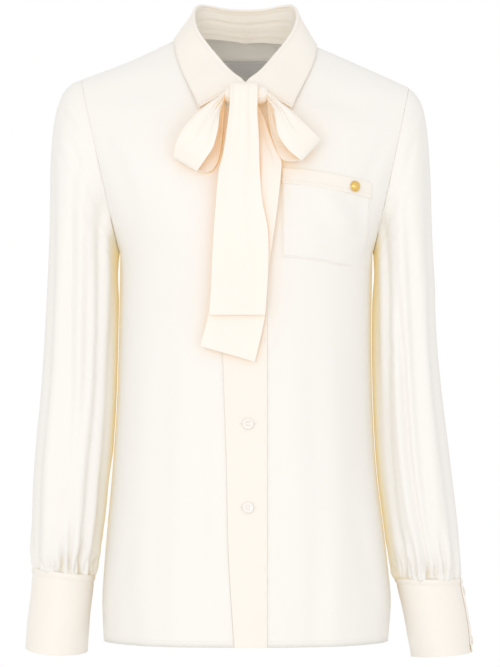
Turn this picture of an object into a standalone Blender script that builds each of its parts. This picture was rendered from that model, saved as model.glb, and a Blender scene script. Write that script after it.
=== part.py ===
"""Tie neck blouse: a hollow worn shirt with a bow at the neck, long sleeves and deep cuffs.

Metres, +Z up. The front faces -Y and the wearer's left is +X, so front_right is on the viewer's left.
The origin is between the shoulders at the base of the neck. Every cloth piece is a thin wall on a
surface worked out from the sizes and short tables below.
"""

import math
from collections import namedtuple

import bmesh
import bpy
import numpy as np
from mathutils import Vector

# Walls: one layer of cloth, two layers sewn together, woven tape; gaps at a seam and under a laid piece
SINGLE = 0.0012
DOUBLE = 0.0016
TAPE = 0.0010
GAP = 0.0003
LAID_GAP = 0.0005

# Torso levels, the depth of the armhole's oval to the front and back, and the rounding of its rows
HEM_Z = -0.678
UNDERARM_Z = -0.235
CHEST_DIP = 0.010
CROWN_Z = 0.021
ARMHOLE_FRONT = 0.058
ARMHOLE_BACK = 0.055
SIDE_SEAM_HALF_GAP = 0.0005
CREST_POWER = 2.2
FRONT_ROUNDNESS = 1.42
BACK_ROUNDNESS = 0.37
ACROSS_POWER = 2.3
CHEST_FLATNESS = 1.3
SHOULDER_SAG_FROM = 0.43
COLUMN_POWER = 1.15
HALVINGS = 34

# Neckline: half width, the row where it crosses the centre, and how fast it opens, front and back
NECK_HALF = 0.064
NECK_CENTRE_Y = -0.008
SHOULDER_STATION = 0.55
FRONT_PIT_ROW = 0.7095
FRONT_NECK_POWER = 1.667
BACK_PIT_ROW = 0.925
BACK_NECK_POWER = 1.333

# Front closing: the placket's free edge and top, where the two fronts meet under it, the buttons
PLACKET_EDGE_X = 0.0242
PLACKET_TOP_ROW = 0.700
PLACKET_SEAM = 0.003
FRONT_SEAM_GAP = 0.0008
BUTTON_X = 0.003
BUTTON_TOP_Z = -0.1453
BUTTON_SPACING = 0.0940
BUTTON_COUNT = 5
BUTTON_RADIUS = 0.0063
BUTTON_HEIGHT = 0.0025
BUTTON_EDGE = 0.0006

# Chest pocket on the wearer's left, the share of its height between band and bag, and the stud
POCKET_LEFT_X = 0.0410
POCKET_TOP_RIGHT_X = 0.1420
POCKET_LOW_RIGHT_X = 0.1355
POCKET_TOP_Z = -0.1405
POCKET_LOW_Z = -0.2400
POCKET_SLOPE = 0.0150
POCKET_BAND = 0.0175
POCKET_BAND_WALL = 0.0020
STUD_X = 0.1225
STUD_Z = -0.1600
STUD_RADIUS = 0.0062
STUD_HEIGHT = 0.0035
POCKET_SEAM_SHARE = 0.0035

# Label inside the back
LABEL_HALF_WIDTH = 0.0292
LABEL_TOP_Z = -0.0069
LABEL_HEIGHT = 0.0250
LABEL_GAP = 0.0013

# Knot: centre and half sizes
KNOT_CENTRE = (0.0007, -0.0991, -0.0555)
KNOT_HALF = (0.0235, 0.0113, 0.0095)

# Tie band: from and to as parts of the stand's height, how far out, where it comes out to the knot
BAND_LOW = 0.42
BAND_HIGH = 0.70
BAND_DROP = 0.34
BAND_DROPS_FROM = 0.86
BAND_LEAVES = 0.93
BAND_END = 0.97
BAND_OUT = 0.0028
BAND_TO_KNOT = 0.0077

# Gathers of a sleeve into its cuff
GATHERS = 16
GATHER_DEPTH = 0.0017
GATHER_LENGTH = 0.050
SLEEVE_POINTS = 24

# Cuffs: the lap's angle, how far its layers lie apart, and the rounding of its lower corner
CUFF_POINTS = 30
CUFF_LAP = math.radians(54)
CUFF_LAP_GAP = 0.0026
CUFF_CORNER = 0.009
CUFF_BUTTON_BACK = math.radians(34)

Body = namedtuple("Body", "z right left front back")
BODY = [
    Body(-0.678, 0.1625, 0.1635, 0.134, 0.128),
    Body(-0.630, 0.1640, 0.1665, 0.132, 0.126),
    Body(-0.590, 0.1617, 0.1628, 0.130, 0.123),
    Body(-0.540, 0.1575, 0.1568, 0.127, 0.119),
    Body(-0.490, 0.1530, 0.1505, 0.124, 0.115),
    Body(-0.400, 0.1470, 0.1452, 0.121, 0.110),
    Body(-0.320, 0.1448, 0.1442, 0.122, 0.112),
    Body(-0.235, 0.1435, 0.1455, 0.126, 0.118),
]

Side = namedtuple("Side", "tip_x tip_z under_x crown_drop sag")
RIGHT = Side(0.1880, -0.0345, 0.1435, 0.0000, 0.0068)
LEFT = Side(0.1870, -0.0437, 0.1455, 0.0066, 0.0040)

# The placket's left edge moves towards the centre lower down
Edge = namedtuple("Edge", "z x")
PLACKET_LEFT = [
    Edge(-0.678, -0.0120),
    Edge(-0.580, -0.0183),
    Edge(-0.456, -0.0212),
    Edge(-0.360, -0.0247),
    Edge(-0.060, -0.0250),
]

# Top line of the collar stand, from the front (0) round to the middle of the back (1)
Fold = namedtuple("Fold", "s x y z")
FOLD = [
    Fold(0.00, 0.0008, -0.0770, -0.0440),
    Fold(0.12, 0.0095, -0.0735, -0.0365),
    Fold(0.28, 0.0280, -0.0600, -0.0165),
    Fold(0.42, 0.0470, -0.0380, 0.0075),
    Fold(0.55, 0.0568, -0.0150, 0.0245),
    Fold(0.66, 0.0590, 0.0100, 0.0395),
    Fold(0.78, 0.0535, 0.0360, 0.0515),
    Fold(0.88, 0.0395, 0.0520, 0.0520),
    Fold(0.95, 0.0205, 0.0605, 0.0490),
    Fold(1.00, 0.0000, 0.0640, 0.0480),
]

# Outer edge of the collar's fall: half width and row of the torso, how far over it, and the bulge
Fall = namedtuple("Fall", "s x row clear bulge")
FALL = [
    Fall(0.00, 0.0521, 0.695, 0.0060, 0.0060),
    Fall(0.12, 0.0565, 0.722, 0.0056, 0.0058),
    Fall(0.28, 0.0640, 0.762, 0.0046, 0.0052),
    Fall(0.42, 0.0735, 0.822, 0.0038, 0.0034),
    Fall(0.55, 0.0793, 0.893, 0.0038, 0.0012),
    Fall(0.66, 0.0805, 1.000, 0.0038, 0.0004),
    Fall(0.78, 0.0735, 1.050, 0.0038, 0.0004),
    Fall(0.88, 0.0540, 1.090, 0.0038, 0.0020),
    Fall(0.95, 0.0280, 1.108, 0.0038, 0.0030),
    Fall(1.00, 0.0000, 1.115, 0.0038, 0.0030),
]
FOLD_RADIUS = 0.0027
STAND_INSET = 0.0025
STAND_LIFT = 0.0017

# Sleeve sections from the armhole to the cuff: outer and inner point, middle depth, half depths
Ring = namedtuple("Ring", "outer_x outer_z inner_x inner_z y front back")
SLEEVE_RIGHT = [
    Ring(0.1886, -0.0350, 0.1451, -0.2340, 0.000, 0.0580, 0.0550),
    Ring(0.1985, -0.0390, 0.1453, -0.2365, 0.000, 0.0588, 0.0558),
    Ring(0.2085, -0.0490, 0.1456, -0.2390, 0.000, 0.0598, 0.0570),
    Ring(0.2150, -0.0640, 0.1459, -0.2420, 0.000, 0.0606, 0.0580),
    Ring(0.2197, -0.0840, 0.1462, -0.2455, -0.001, 0.0612, 0.0590),
    Ring(0.2222, -0.1080, 0.1465, -0.2495, -0.001, 0.0616, 0.0596),
    Ring(0.2238, -0.1380, 0.1468, -0.2545, -0.002, 0.0620, 0.0600),
    Ring(0.2243, -0.1750, 0.1472, -0.2615, -0.002, 0.0620, 0.0602),
    Ring(0.2250, -0.2150, 0.1477, -0.2710, -0.003, 0.0618, 0.0602),
    Ring(0.2266, -0.2560, 0.1483, -0.2860, -0.003, 0.0615, 0.0600),
    Ring(0.2290, -0.3030, 0.1490, -0.3120, -0.004, 0.0610, 0.0596),
    Ring(0.2317, -0.3520, 0.1497, -0.3520, -0.004, 0.0602, 0.0590),
    Ring(0.2355, -0.4030, 0.1511, -0.4030, -0.005, 0.0592, 0.0582),
    Ring(0.2398, -0.4480, 0.1545, -0.4480, -0.006, 0.0580, 0.0572),
    Ring(0.2430, -0.4900, 0.1582, -0.4900, -0.008, 0.0560, 0.0552),
    Ring(0.2443, -0.5280, 0.1620, -0.5290, -0.009, 0.0530, 0.0526),
    Ring(0.2450, -0.5500, 0.1652, -0.5520, -0.010, 0.0505, 0.0500),
    Ring(0.2456, -0.5680, 0.1684, -0.5720, -0.010, 0.0475, 0.0470),
    Ring(0.2456, -0.5830, 0.1716, -0.5890, -0.010, 0.0430, 0.0426),
    Ring(0.2445, -0.5938, 0.1739, -0.6023, -0.010, 0.0376, 0.0376),
]
SLEEVE_LEFT = [
    Ring(0.1877, -0.0443, 0.1471, -0.2340, 0.000, 0.0580, 0.0550),
    Ring(0.1955, -0.0515, 0.1473, -0.2362, 0.000, 0.0586, 0.0556),
    Ring(0.2025, -0.0640, 0.1475, -0.2385, 0.000, 0.0592, 0.0564),
    Ring(0.2068, -0.0820, 0.1477, -0.2415, 0.000, 0.0598, 0.0574),
    Ring(0.2095, -0.1040, 0.1479, -0.2450, -0.001, 0.0602, 0.0582),
    Ring(0.2113, -0.1290, 0.1481, -0.2495, -0.001, 0.0606, 0.0588),
    Ring(0.2127, -0.1590, 0.1483, -0.2550, -0.002, 0.0608, 0.0592),
    Ring(0.2136, -0.1940, 0.1485, -0.2620, -0.002, 0.0608, 0.0594),
    Ring(0.2150, -0.2320, 0.1487, -0.2720, -0.003, 0.0606, 0.0594),
    Ring(0.2172, -0.2680, 0.1488, -0.2870, -0.003, 0.0604, 0.0592),
    Ring(0.2182, -0.3100, 0.1489, -0.3150, -0.004, 0.0600, 0.0590),
    Ring(0.2212, -0.3550, 0.1490, -0.3550, -0.004, 0.0594, 0.0584),
    Ring(0.2262, -0.4030, 0.1494, -0.4030, -0.005, 0.0585, 0.0576),
    Ring(0.2318, -0.4480, 0.1518, -0.4480, -0.006, 0.0572, 0.0566),
    Ring(0.2372, -0.4940, 0.1556, -0.4940, -0.008, 0.0555, 0.0550),
    Ring(0.2418, -0.5330, 0.1602, -0.5330, -0.009, 0.0528, 0.0524),
    Ring(0.2443, -0.5570, 0.1642, -0.5560, -0.010, 0.0500, 0.0498),
    Ring(0.2460, -0.5760, 0.1672, -0.5750, -0.010, 0.0470, 0.0468),
    Ring(0.2467, -0.5930, 0.1700, -0.5920, -0.010, 0.0425, 0.0424),
    Ring(0.2463, -0.6063, 0.1723, -0.6058, -0.010, 0.0376, 0.0376),
]
FINE_FROM = 14

# Cuff sections, top to bottom
CUFF_RIGHT = [
    Ring(0.2444, -0.5945, 0.1740, -0.6030, -0.010, 0.0366, 0.0366),
    Ring(0.2466, -0.6290, 0.1776, -0.6380, -0.011, 0.0362, 0.0362),
    Ring(0.2506, -0.6600, 0.1804, -0.6680, -0.012, 0.0364, 0.0364),
    Ring(0.2530, -0.6860, 0.1826, -0.6900, -0.013, 0.0368, 0.0368),
]
CUFF_LEFT = [
    Ring(0.2463, -0.6070, 0.1724, -0.6065, -0.010, 0.0366, 0.0366),
    Ring(0.2518, -0.6380, 0.1790, -0.6360, -0.011, 0.0362, 0.0362),
    Ring(0.2568, -0.6660, 0.1850, -0.6660, -0.012, 0.0364, 0.0364),
    Ring(0.2592, -0.6915, 0.1914, -0.6960, -0.013, 0.0368, 0.0368),
]
# Where the top layer of the lap ends, as an angle from the outer side towards the front
CUFF_END = {"right": math.radians(-35), "left": math.radians(14)}
CUFF_DROOP = {"right": 0.0045, "left": 0.0000}

# Long soft folds of the sleeves: angle from the outer side towards the front, from and to height
Crease = namedtuple("Crease", "angle high low width depth")
CREASES = {
    "right": [
        Crease(52, -0.16, -0.56, 13, 0.0020),
        Crease(88, -0.40, -0.58, 11, 0.0026),
        Crease(122, -0.30, -0.58, 12, 0.0030),
        Crease(232, -0.24, -0.58, 14, 0.0026),
        Crease(300, -0.34, -0.57, 13, 0.0024),
    ],
    "left": [
        Crease(64, -0.22, -0.56, 12, 0.0022),
        Crease(98, -0.36, -0.59, 12, 0.0038),
        Crease(134, -0.18, -0.58, 12, 0.0026),
        Crease(228, -0.26, -0.58, 14, 0.0026),
        Crease(296, -0.34, -0.57, 13, 0.0022),
    ],
}

# Bow loops: upper edge, lower edge and their depths, out along the front layer and back along the rear
Strip = namedtuple("Strip", "top_x top_z low_x low_z top_y low_y")
LOOP_RIGHT = [
    Strip(-0.0229, -0.0530, -0.0229, -0.0590, -0.1026, -0.1026),
    Strip(-0.0290, -0.0590, -0.0260, -0.0690, -0.1070, -0.1080),
    Strip(-0.0397, -0.0662, -0.0290, -0.0790, -0.1130, -0.1150),
    Strip(-0.0543, -0.0785, -0.0307, -0.0960, -0.1190, -0.1230),
    Strip(-0.0700, -0.0965, -0.0360, -0.1165, -0.1220, -0.1280),
    Strip(-0.0779, -0.1133, -0.0445, -0.1300, -0.1200, -0.1290),
    Strip(-0.0801, -0.1262, -0.0532, -0.1425, -0.1165, -0.1250),
    Strip(-0.0800, -0.1262, -0.0528, -0.1430, -0.1115, -0.1190),
    Strip(-0.0760, -0.1120, -0.0400, -0.1440, -0.1085, -0.1160),
    Strip(-0.0640, -0.0945, -0.0310, -0.1330, -0.1060, -0.1130),
    Strip(-0.0480, -0.0780, -0.0265, -0.1100, -0.1030, -0.1080),
    Strip(-0.0330, -0.0650, -0.0245, -0.0820, -0.1000, -0.1020),
    Strip(-0.0229, -0.0540, -0.0229, -0.0600, -0.0974, -0.0974),
]
LOOP_LEFT = [
    Strip(0.0241, -0.0530, 0.0241, -0.0590, -0.1026, -0.1026),
    Strip(0.0300, -0.0585, 0.0268, -0.0660, -0.1070, -0.1085),
    Strip(0.0405, -0.0670, 0.0318, -0.0745, -0.1130, -0.1190),
    Strip(0.0518, -0.0763, 0.0340, -0.0870, -0.1190, -0.1270),
    Strip(0.0680, -0.0920, 0.0372, -0.1043, -0.1220, -0.1325),
    Strip(0.0790, -0.1030, 0.0490, -0.1212, -0.1210, -0.1330),
    Strip(0.0838, -0.1077, 0.0619, -0.1313, -0.1160, -0.1290),
    Strip(0.0836, -0.1085, 0.0600, -0.1315, -0.1110, -0.1235),
    Strip(0.0740, -0.1010, 0.0430, -0.1313, -0.1075, -0.1215),
    Strip(0.0600, -0.0880, 0.0345, -0.1167, -0.1040, -0.1175),
    Strip(0.0450, -0.0750, 0.0290, -0.1000, -0.1010, -0.1125),
    Strip(0.0340, -0.0650, 0.0265, -0.0800, -0.0990, -0.1045),
    Strip(0.0241, -0.0540, 0.0241, -0.0600, -0.0974, -0.0974),
]
LOOP_BULGE = 0.0025

# Hanging ends of the tie, top to bottom: left and right edge and depth
Hang = namedtuple("Hang", "left_x left_z right_x right_z y")
TAIL_FRONT = [
    Hang(-0.0120, -0.0480, 0.0100, -0.0480, -0.0890),
    Hang(-0.0140, -0.0440, 0.0125, -0.0440, -0.0940),
    Hang(-0.0155, -0.0432, 0.0135, -0.0432, -0.1010),
    Hang(-0.0165, -0.0460, 0.0138, -0.0460, -0.1079),
    Hang(-0.0170, -0.0530, 0.0138, -0.0530, -0.1118),
    Hang(-0.0172, -0.0620, 0.0137, -0.0620, -0.1134),
    Hang(-0.0185, -0.0780, 0.0135, -0.0780, -0.1165),
    Hang(-0.0210, -0.0980, 0.0148, -0.0980, -0.1195),
    Hang(-0.0251, -0.1250, 0.0157, -0.1250, -0.1245),
    Hang(-0.0300, -0.1455, 0.0164, -0.1455, -0.1290),
    Hang(-0.0328, -0.1770, 0.0190, -0.1770, -0.1350),
    Hang(-0.0352, -0.2080, 0.0250, -0.2080, -0.1375),
    Hang(-0.0370, -0.2400, 0.0260, -0.2400, -0.1388),
    Hang(-0.0385, -0.2750, 0.0244, -0.2750, -0.1372),
    Hang(-0.0408, -0.3053, 0.0222, -0.3053, -0.1352),
]
TAIL_BACK = [
    Hang(-0.0060, -0.0653, 0.0120, -0.0653, -0.0968),
    Hang(-0.0095, -0.0800, 0.0200, -0.0800, -0.1000),
    Hang(-0.0130, -0.0980, 0.0262, -0.0980, -0.1060),
    Hang(-0.0165, -0.1150, 0.0330, -0.1150, -0.1120),
    Hang(-0.0200, -0.1350, 0.0405, -0.1330, -0.1182),
    Hang(-0.0250, -0.1660, 0.0380, -0.1660, -0.1262),
    Hang(-0.0290, -0.1950, 0.0345, -0.1950, -0.1305),
    Hang(-0.0325, -0.2250, 0.0302, -0.2250, -0.1332),
    Hang(-0.0360, -0.2600, 0.0258, -0.2600, -0.1336),
    Hang(-0.0419, -0.3064, 0.0220, -0.3064, -0.1308),
    Hang(-0.0508, -0.3400, 0.0108, -0.3579, -0.1292),
]


def curve(at, rows, column):
    """A smooth value between the rows of a table, by cubic pieces with the table's own slopes."""
    key = rows[0]._fields[0]
    order = sorted(rows, key=lambda row: getattr(row, key))
    keys = np.array([getattr(row, key) for row in order])
    values = np.array([getattr(row, column) for row in order])
    slopes = np.gradient(values, keys)
    i = np.clip(np.searchsorted(keys, at) - 1, 0, len(keys) - 2)
    span = keys[i + 1] - keys[i]
    t = np.clip((at - keys[i]) / span, 0, 1)
    start = values[i] * (1 + 2 * t) * (1 - t) ** 2 + slopes[i] * span * t * (1 - t) ** 2
    end = values[i + 1] * t**2 * (3 - 2 * t) - slopes[i + 1] * span * t**2 * (1 - t)
    return start + end


def smooth(value, low, high):
    """A soft step from 0 at low to 1 at high."""
    t = np.clip((value - low) / (high - low), 0, 1)
    return t * t * (3 - 2 * t)


def torso_rows(row, right):
    """The numbers that shape a row of the torso, for the wearer's right or left half.

    Rows run from -1 at the front hem over 0 at the underarm and 1 at the shoulder seam to 3 at the
    back hem. A row is an arc from the middle of the body to the side seam or the armhole.
    """
    face = np.where(row <= 1, -1.0, 1.0)
    level = np.where(row <= 1, row, 2 - row)
    up = np.clip(level, 0, 1)
    down = np.clip(-level, 0, 1)
    low_z = UNDERARM_Z + (HEM_Z - UNDERARM_Z) * down

    def pick(name):
        return np.where(right, getattr(RIGHT, name), getattr(LEFT, name))

    half = np.where(right, curve(low_z, BODY, "right"), curve(low_z, BODY, "left"))
    depth = np.where(face < 0, curve(low_z, BODY, "front"), curve(low_z, BODY, "back"))
    swing = np.cos(math.pi * up)
    tip_x, under_x, tip_z = pick("tip_x"), pick("under_x"), pick("tip_z")
    side_x = np.where(level > 0, (tip_x + under_x) / 2 - (tip_x - under_x) / 2 * swing, half)
    side_z = np.where(
        level > 0, (tip_z + UNDERARM_Z) / 2 - (tip_z - UNDERARM_Z) / 2 * swing, low_z
    )
    arm = np.where(face < 0, ARMHOLE_FRONT, ARMHOLE_BACK)
    side_y = face * (np.where(level > 0, arm * np.sin(math.pi * up), 0) + SIDE_SEAM_HALF_GAP)
    turn = math.pi / 2 * up**CREST_POWER
    roundness = np.where(face < 0, FRONT_ROUNDNESS, BACK_ROUNDNESS)
    middle_y = face * depth * np.maximum(np.cos(turn), 1e-9) ** roundness
    chest_z = UNDERARM_Z - CHEST_DIP
    rise_z = chest_z + (CROWN_Z - chest_z) * np.sin(turn)
    middle_z = np.where(level > 0, rise_z, low_z - CHEST_DIP * (1 - down) ** 4)
    round_off = 1 + CHEST_FLATNESS * (1 - up) ** 3
    drop = pick("crown_drop") * smooth(up, 0.7, 1.0)
    sag = pick("sag") * smooth(up, 0.6, 1.0)
    return side_x, side_y, side_z, middle_y, middle_z, round_off, drop, sag


def torso(x, row):
    """Points on the middle of the torso's wall, at x on a row."""
    x, row = np.broadcast_arrays(np.asarray(x, float), np.asarray(row, float))
    side_x, side_y, side_z, middle_y, middle_z, round_off, drop, sag = torso_rows(row, x < 0)
    t = np.clip(np.abs(x) / side_x, 0, 1)
    y = side_y + (middle_y - side_y) * (1 - t**ACROSS_POWER) ** (1 / round_off)
    z = side_z + (middle_z - side_z - drop * smooth(np.abs(x), 0, NECK_HALF)) * (1 - t**2)
    past_neck = np.clip((t - SHOULDER_SAG_FROM) / (1 - SHOULDER_SAG_FROM), 0, 1)
    z = z - sag * np.sin(math.pi * past_neck)
    return np.stack([x, y, z], axis=-1)


def half_width(row, right):
    """How far a row reaches to the side."""
    return torso_rows(np.asarray(row, float), right)[0]


def row_at(x, z, hem=-1.0):
    """The row that passes through x and z, by halving between the shoulder seam and a hem (-1 or 3)."""
    x, z = np.broadcast_arrays(np.asarray(x, float), np.asarray(z, float))
    low, high = np.full(x.shape, hem), np.full(x.shape, 1.0 if hem < 0 else 1.000001)
    for _ in range(HALVINGS):
        middle = (low + high) / 2
        above = torso(x, middle)[..., 2] > z
        high = np.where(above, middle, high)
        low = np.where(above, low, middle)
    return (low + high) / 2


def outward(x, row):
    """The torso's outward direction at x on a row."""
    step = 1e-4
    x, row = np.broadcast_arrays(np.asarray(x, float), np.asarray(row, float))
    across = torso(x + step, row) - torso(x - step, row)
    along = torso(x, row + step) - torso(x, row - step)
    normal = np.cross(across, along)
    return normal / np.linalg.norm(normal, axis=-1, keepdims=True)


def over_torso(x, row, out):
    """A point moved out from the torso's wall."""
    return torso(x, row) + outward(x, row) * np.asarray(out)[..., None]


def front_skin(x, z, out):
    """A point over the front at x and z, moved out from the wall."""
    return over_torso(x, row_at(x, z), out)


def neck_reach(row):
    """Half width of the neck opening on a row, 0 below it."""
    row = np.asarray(row, float)
    front = np.clip((row - FRONT_PIT_ROW) / (1 - FRONT_PIT_ROW), 0, 1) ** (1 / FRONT_NECK_POWER)
    back = np.clip((2 - row - BACK_PIT_ROW) / (1 - BACK_PIT_ROW), 0, 1) ** (1 / BACK_NECK_POWER)
    return NECK_HALF * np.where(row <= 1, front, back)


def neckline(s, sign):
    """Points of the neckline from the front (0) to the middle of the back (1), on one side."""
    s = np.asarray(s, float)
    front = s <= SHOULDER_STATION
    w = np.where(front, s / SHOULDER_STATION, (1 - s) / (1 - SHOULDER_STATION))
    share = np.sin(math.pi / 2 * w)
    front_row = FRONT_PIT_ROW + (1 - FRONT_PIT_ROW) * share**FRONT_NECK_POWER
    back_row = 2 - (BACK_PIT_ROW + (1 - BACK_PIT_ROW) * share**BACK_NECK_POWER)
    return torso(sign * NECK_HALF * share, np.where(front, front_row, back_row))


def neck_station(row):
    """How far along the neckline a row of the torso meets it, from the front (0) to the back (1)."""
    share = float(neck_reach(row)) / NECK_HALF
    w = math.asin(min(share, 1)) / (math.pi / 2)
    return SHOULDER_STATION * w if row <= 1 else 1 - (1 - SHOULDER_STATION) * w


def around_neck(s):
    """Stand bottom, stand top, the stand's slope and its outward direction.

    s runs from -1 at the right front over 0 at the middle of the back to 1 at the left front.
    """
    s = np.asarray(s, float)
    part = 1 - np.abs(s)
    sign = np.where(s < 0, -1.0, 1.0)
    bottom = neckline(part, sign)
    top = np.stack(
        [sign * curve(part, FOLD, "x"), curve(part, FOLD, "y"), curve(part, FOLD, "z")], axis=-1
    )
    level = np.stack([top[..., 0], top[..., 1] - NECK_CENTRE_Y, np.zeros_like(s)], axis=-1)
    level = level / np.linalg.norm(level, axis=-1, keepdims=True)
    bottom = bottom - level * STAND_INSET + np.array([0, 0, STAND_LIFT])
    slope = top - bottom
    slope = slope / np.linalg.norm(slope, axis=-1, keepdims=True)
    out = np.cross(slope, np.gradient(bottom + top, axis=0))
    out = out / np.linalg.norm(out, axis=-1, keepdims=True)
    return bottom, top, slope, out


def material(name, colour, roughness, metallic=0.0):
    """A plain Principled material from an sRGB hex colour."""
    made = bpy.data.materials.get(name) or bpy.data.materials.new(name)
    made.use_nodes = True
    shader = made.node_tree.nodes["Principled BSDF"]
    parts = [int(colour[i : i + 2], 16) / 255 for i in (0, 2, 4)]
    linear = [c / 12.92 if c <= 0.04045 else ((c + 0.055) / 1.055) ** 2.4 for c in parts]
    shader.inputs["Base Color"].default_value = (*linear, 1)
    shader.inputs["Roughness"].default_value = roughness
    shader.inputs["Metallic"].default_value = metallic
    made.diffuse_color = (*linear, 1)
    return made


def add_object(name, mesh, surface):
    """Link a mesh as a named object with its material."""
    made = bpy.data.objects.new(name, mesh)
    mesh.materials.clear()
    mesh.materials.append(surface)
    mesh.shade_smooth()
    parts.objects.link(made)
    return made


def add_wall(made, thickness):
    """Thicken a surface evenly to both sides."""
    solid = made.modifiers.new("wall", "SOLIDIFY")
    solid.thickness = thickness
    solid.offset = 0
    solid.use_even_offset = True


def loft(name, rings, surface, thickness, closed=False):
    """A wall through rings of points. A ring may have a whole number of times its neighbour's points."""
    vertices, starts = [], []
    for ring in rings:
        starts.append(len(vertices))
        vertices.extend(tuple(float(c) for c in point) for point in ring)
    faces = []
    for upper, lower, a, b in zip(rings, rings[1:], starts, starts[1:]):
        step = (len(lower) if closed else len(lower) - 1) // (len(upper) if closed else len(upper) - 1)
        for i in range(len(upper) if closed else len(upper) - 1):
            below = [b + (i * step + k) % len(lower) for k in range(step + 1)]
            faces.append([a + (i + 1) % len(upper), a + i, *below])
    mesh = bpy.data.meshes.new(name)
    mesh.from_pydata(vertices, [], faces)
    add_wall(add_object(name, mesh, surface), thickness)


def panel_row(row, inner, right, columns):
    """Points of one row from an inner x (negative past the middle) to the side, at even turns."""
    edge = float(half_width(row, right))
    start = math.copysign(math.asin(min(abs(inner) / edge, 1) ** COLUMN_POWER), inner)
    turns = start + (math.pi / 2 - start) * np.linspace(0, 1, columns)
    x = np.sign(turns) * edge * np.abs(np.sin(turns)) ** (1 / COLUMN_POWER)
    return torso(-x if right else x, np.full(columns, row))


FRONT_ROWS = [*np.linspace(-1, 0, 10), 0.12, 0.26, 0.40, 0.52, 0.62]
FRONT_NECK_ROWS = [FRONT_PIT_ROW, FRONT_PIT_ROW + 0.004, 0.73, 0.77, 0.83, 0.88, 0.92, 0.96, 1.0]
FRONT_ROWS += FRONT_NECK_ROWS
BACK_NECK_ROWS = [1e-6, 0.007, 0.02, 0.042, 0.062, 1 - BACK_PIT_ROW]
BACK_ROWS = [*BACK_NECK_ROWS, 0.12, 0.18, 0.26, 0.36, 0.48, 0.62, 0.78]
BACK_ROWS = [1 + row for row in BACK_ROWS] + [*np.linspace(2, 3, 9)]
FRONT_COLUMNS = 13
BACK_COLUMNS = 14


def build_fronts():
    """Both fronts: the right one ends under the placket's seam, the left one just past it."""
    for name, right in (("front_right", True), ("front_left", False)):
        rows = []
        for row in FRONT_ROWS:
            z = float(torso(0.0, row)[2])
            seam = -float(curve(z, PLACKET_LEFT, "x")) - PLACKET_SEAM
            inner = seam if right else FRONT_SEAM_GAP - seam
            if row > FRONT_PIT_ROW:
                inner = max(inner, float(neck_reach(row))) if right else float(neck_reach(row))
            rows.append(panel_row(row, inner, right, FRONT_COLUMNS))
        loft(name, rows, CREPE, SINGLE)


def build_back():
    """The back: two halves joined along the middle below the neckline."""
    rows = []
    for row in BACK_ROWS:
        inner = float(neck_reach(row))
        right = panel_row(row, inner, True, BACK_COLUMNS)
        left = panel_row(row, inner, False, BACK_COLUMNS)
        rows.append((right, left))
    vertices, faces = [], []
    for side in (0, 1):
        start = len(vertices)
        for pair in rows:
            vertices.extend(tuple(float(c) for c in point) for point in pair[side])
        for r in range(len(rows) - 1):
            for c in range(BACK_COLUMNS - 1):
                a = start + r * BACK_COLUMNS + c
                face = [a, a + 1, a + BACK_COLUMNS + 1, a + BACK_COLUMNS]
                faces.append(face if side else face[::-1])
    halves = bpy.data.meshes.new("back")
    halves.from_pydata(vertices, [], faces)
    work = bmesh.new()
    work.from_mesh(halves)
    bmesh.ops.remove_doubles(work, verts=work.verts, dist=0.00001)
    work.to_mesh(halves)
    work.free()
    add_wall(add_object("back", halves, CREPE), SINGLE)


def build_placket():
    """The band over both fronts, following the fronts moved out."""
    out = SINGLE / 2 + LAID_GAP + DOUBLE / 2
    rows = []
    for row in [r for r in FRONT_ROWS if r < PLACKET_TOP_ROW] + [PLACKET_TOP_ROW]:
        z = float(torso(0.0, row)[2])
        x = np.linspace(float(curve(z, PLACKET_LEFT, "x")), PLACKET_EDGE_X, 5)
        rows.append(over_torso(x, np.full(5, row), np.full(5, out)))
    loft("placket", rows, CREPE_DOUBLE, DOUBLE)


def pocket_point(u, drop):
    """Pocket corners: u across, drop from 0 at the top edge to 1 at the lower edge, as x and z."""
    right = POCKET_TOP_RIGHT_X + (POCKET_LOW_RIGHT_X - POCKET_TOP_RIGHT_X) * drop
    x = POCKET_LEFT_X + (right - POCKET_LEFT_X) * u
    z = POCKET_TOP_Z + (POCKET_LOW_Z - POCKET_TOP_Z) * drop - POCKET_SLOPE * u**1.6
    return x, z


def build_pocket():
    """The patch pocket and its top band, following the left front moved out."""
    share = POCKET_BAND / (POCKET_TOP_Z - POCKET_LOW_Z)
    u = np.linspace(0, 1, 11)
    pieces = (
        ("pocket_band", 0.0, share, 3, POCKET_BAND_WALL),
        ("pocket", share + POCKET_SEAM_SHARE, 1.0, 7, SINGLE),
    )
    for name, high, low, count, wall in pieces:
        rows = []
        for drop in np.linspace(high, low, count):
            x, z = pocket_point(u, drop)
            rows.append(front_skin(x, z, np.full(u.shape, SINGLE / 2 + LAID_GAP + wall / 2)))
        loft(name, rows, CREPE if name == "pocket" else CREPE_DOUBLE, wall)


def build_label():
    """A bare tape inside the back, below the neck seam."""
    rows = []
    x = np.linspace(-LABEL_HALF_WIDTH, LABEL_HALF_WIDTH, 7)
    for z in np.linspace(LABEL_TOP_Z, LABEL_TOP_Z - LABEL_HEIGHT, 4):
        row = row_at(x, np.full(x.shape, z), 3.0)
        rows.append(over_torso(x, row, np.full(x.shape, -(SINGLE / 2 + LABEL_GAP + TAPE / 2))))
    loft("neck_label", rows, LABEL, TAPE)


def sleeve_section(ring, sign, angles, push=0.0):
    """One oval section of a sleeve or cuff. Angle 0 is the outer side and 90 degrees the front."""
    outer = np.array([sign * ring.outer_x, ring.y, ring.outer_z])
    inner = np.array([sign * ring.inner_x, ring.y, ring.inner_z])
    centre, reach = (outer + inner) / 2, (outer - inner) / 2
    depth = np.where(np.sin(angles) > 0, ring.front, ring.back)
    length = np.linalg.norm(reach)
    across = (1 + push / length) * np.cos(angles)
    forward = (depth + push) * np.sin(angles)
    points = centre + reach * across[:, None]
    points[:, 1] -= forward
    return points


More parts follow.
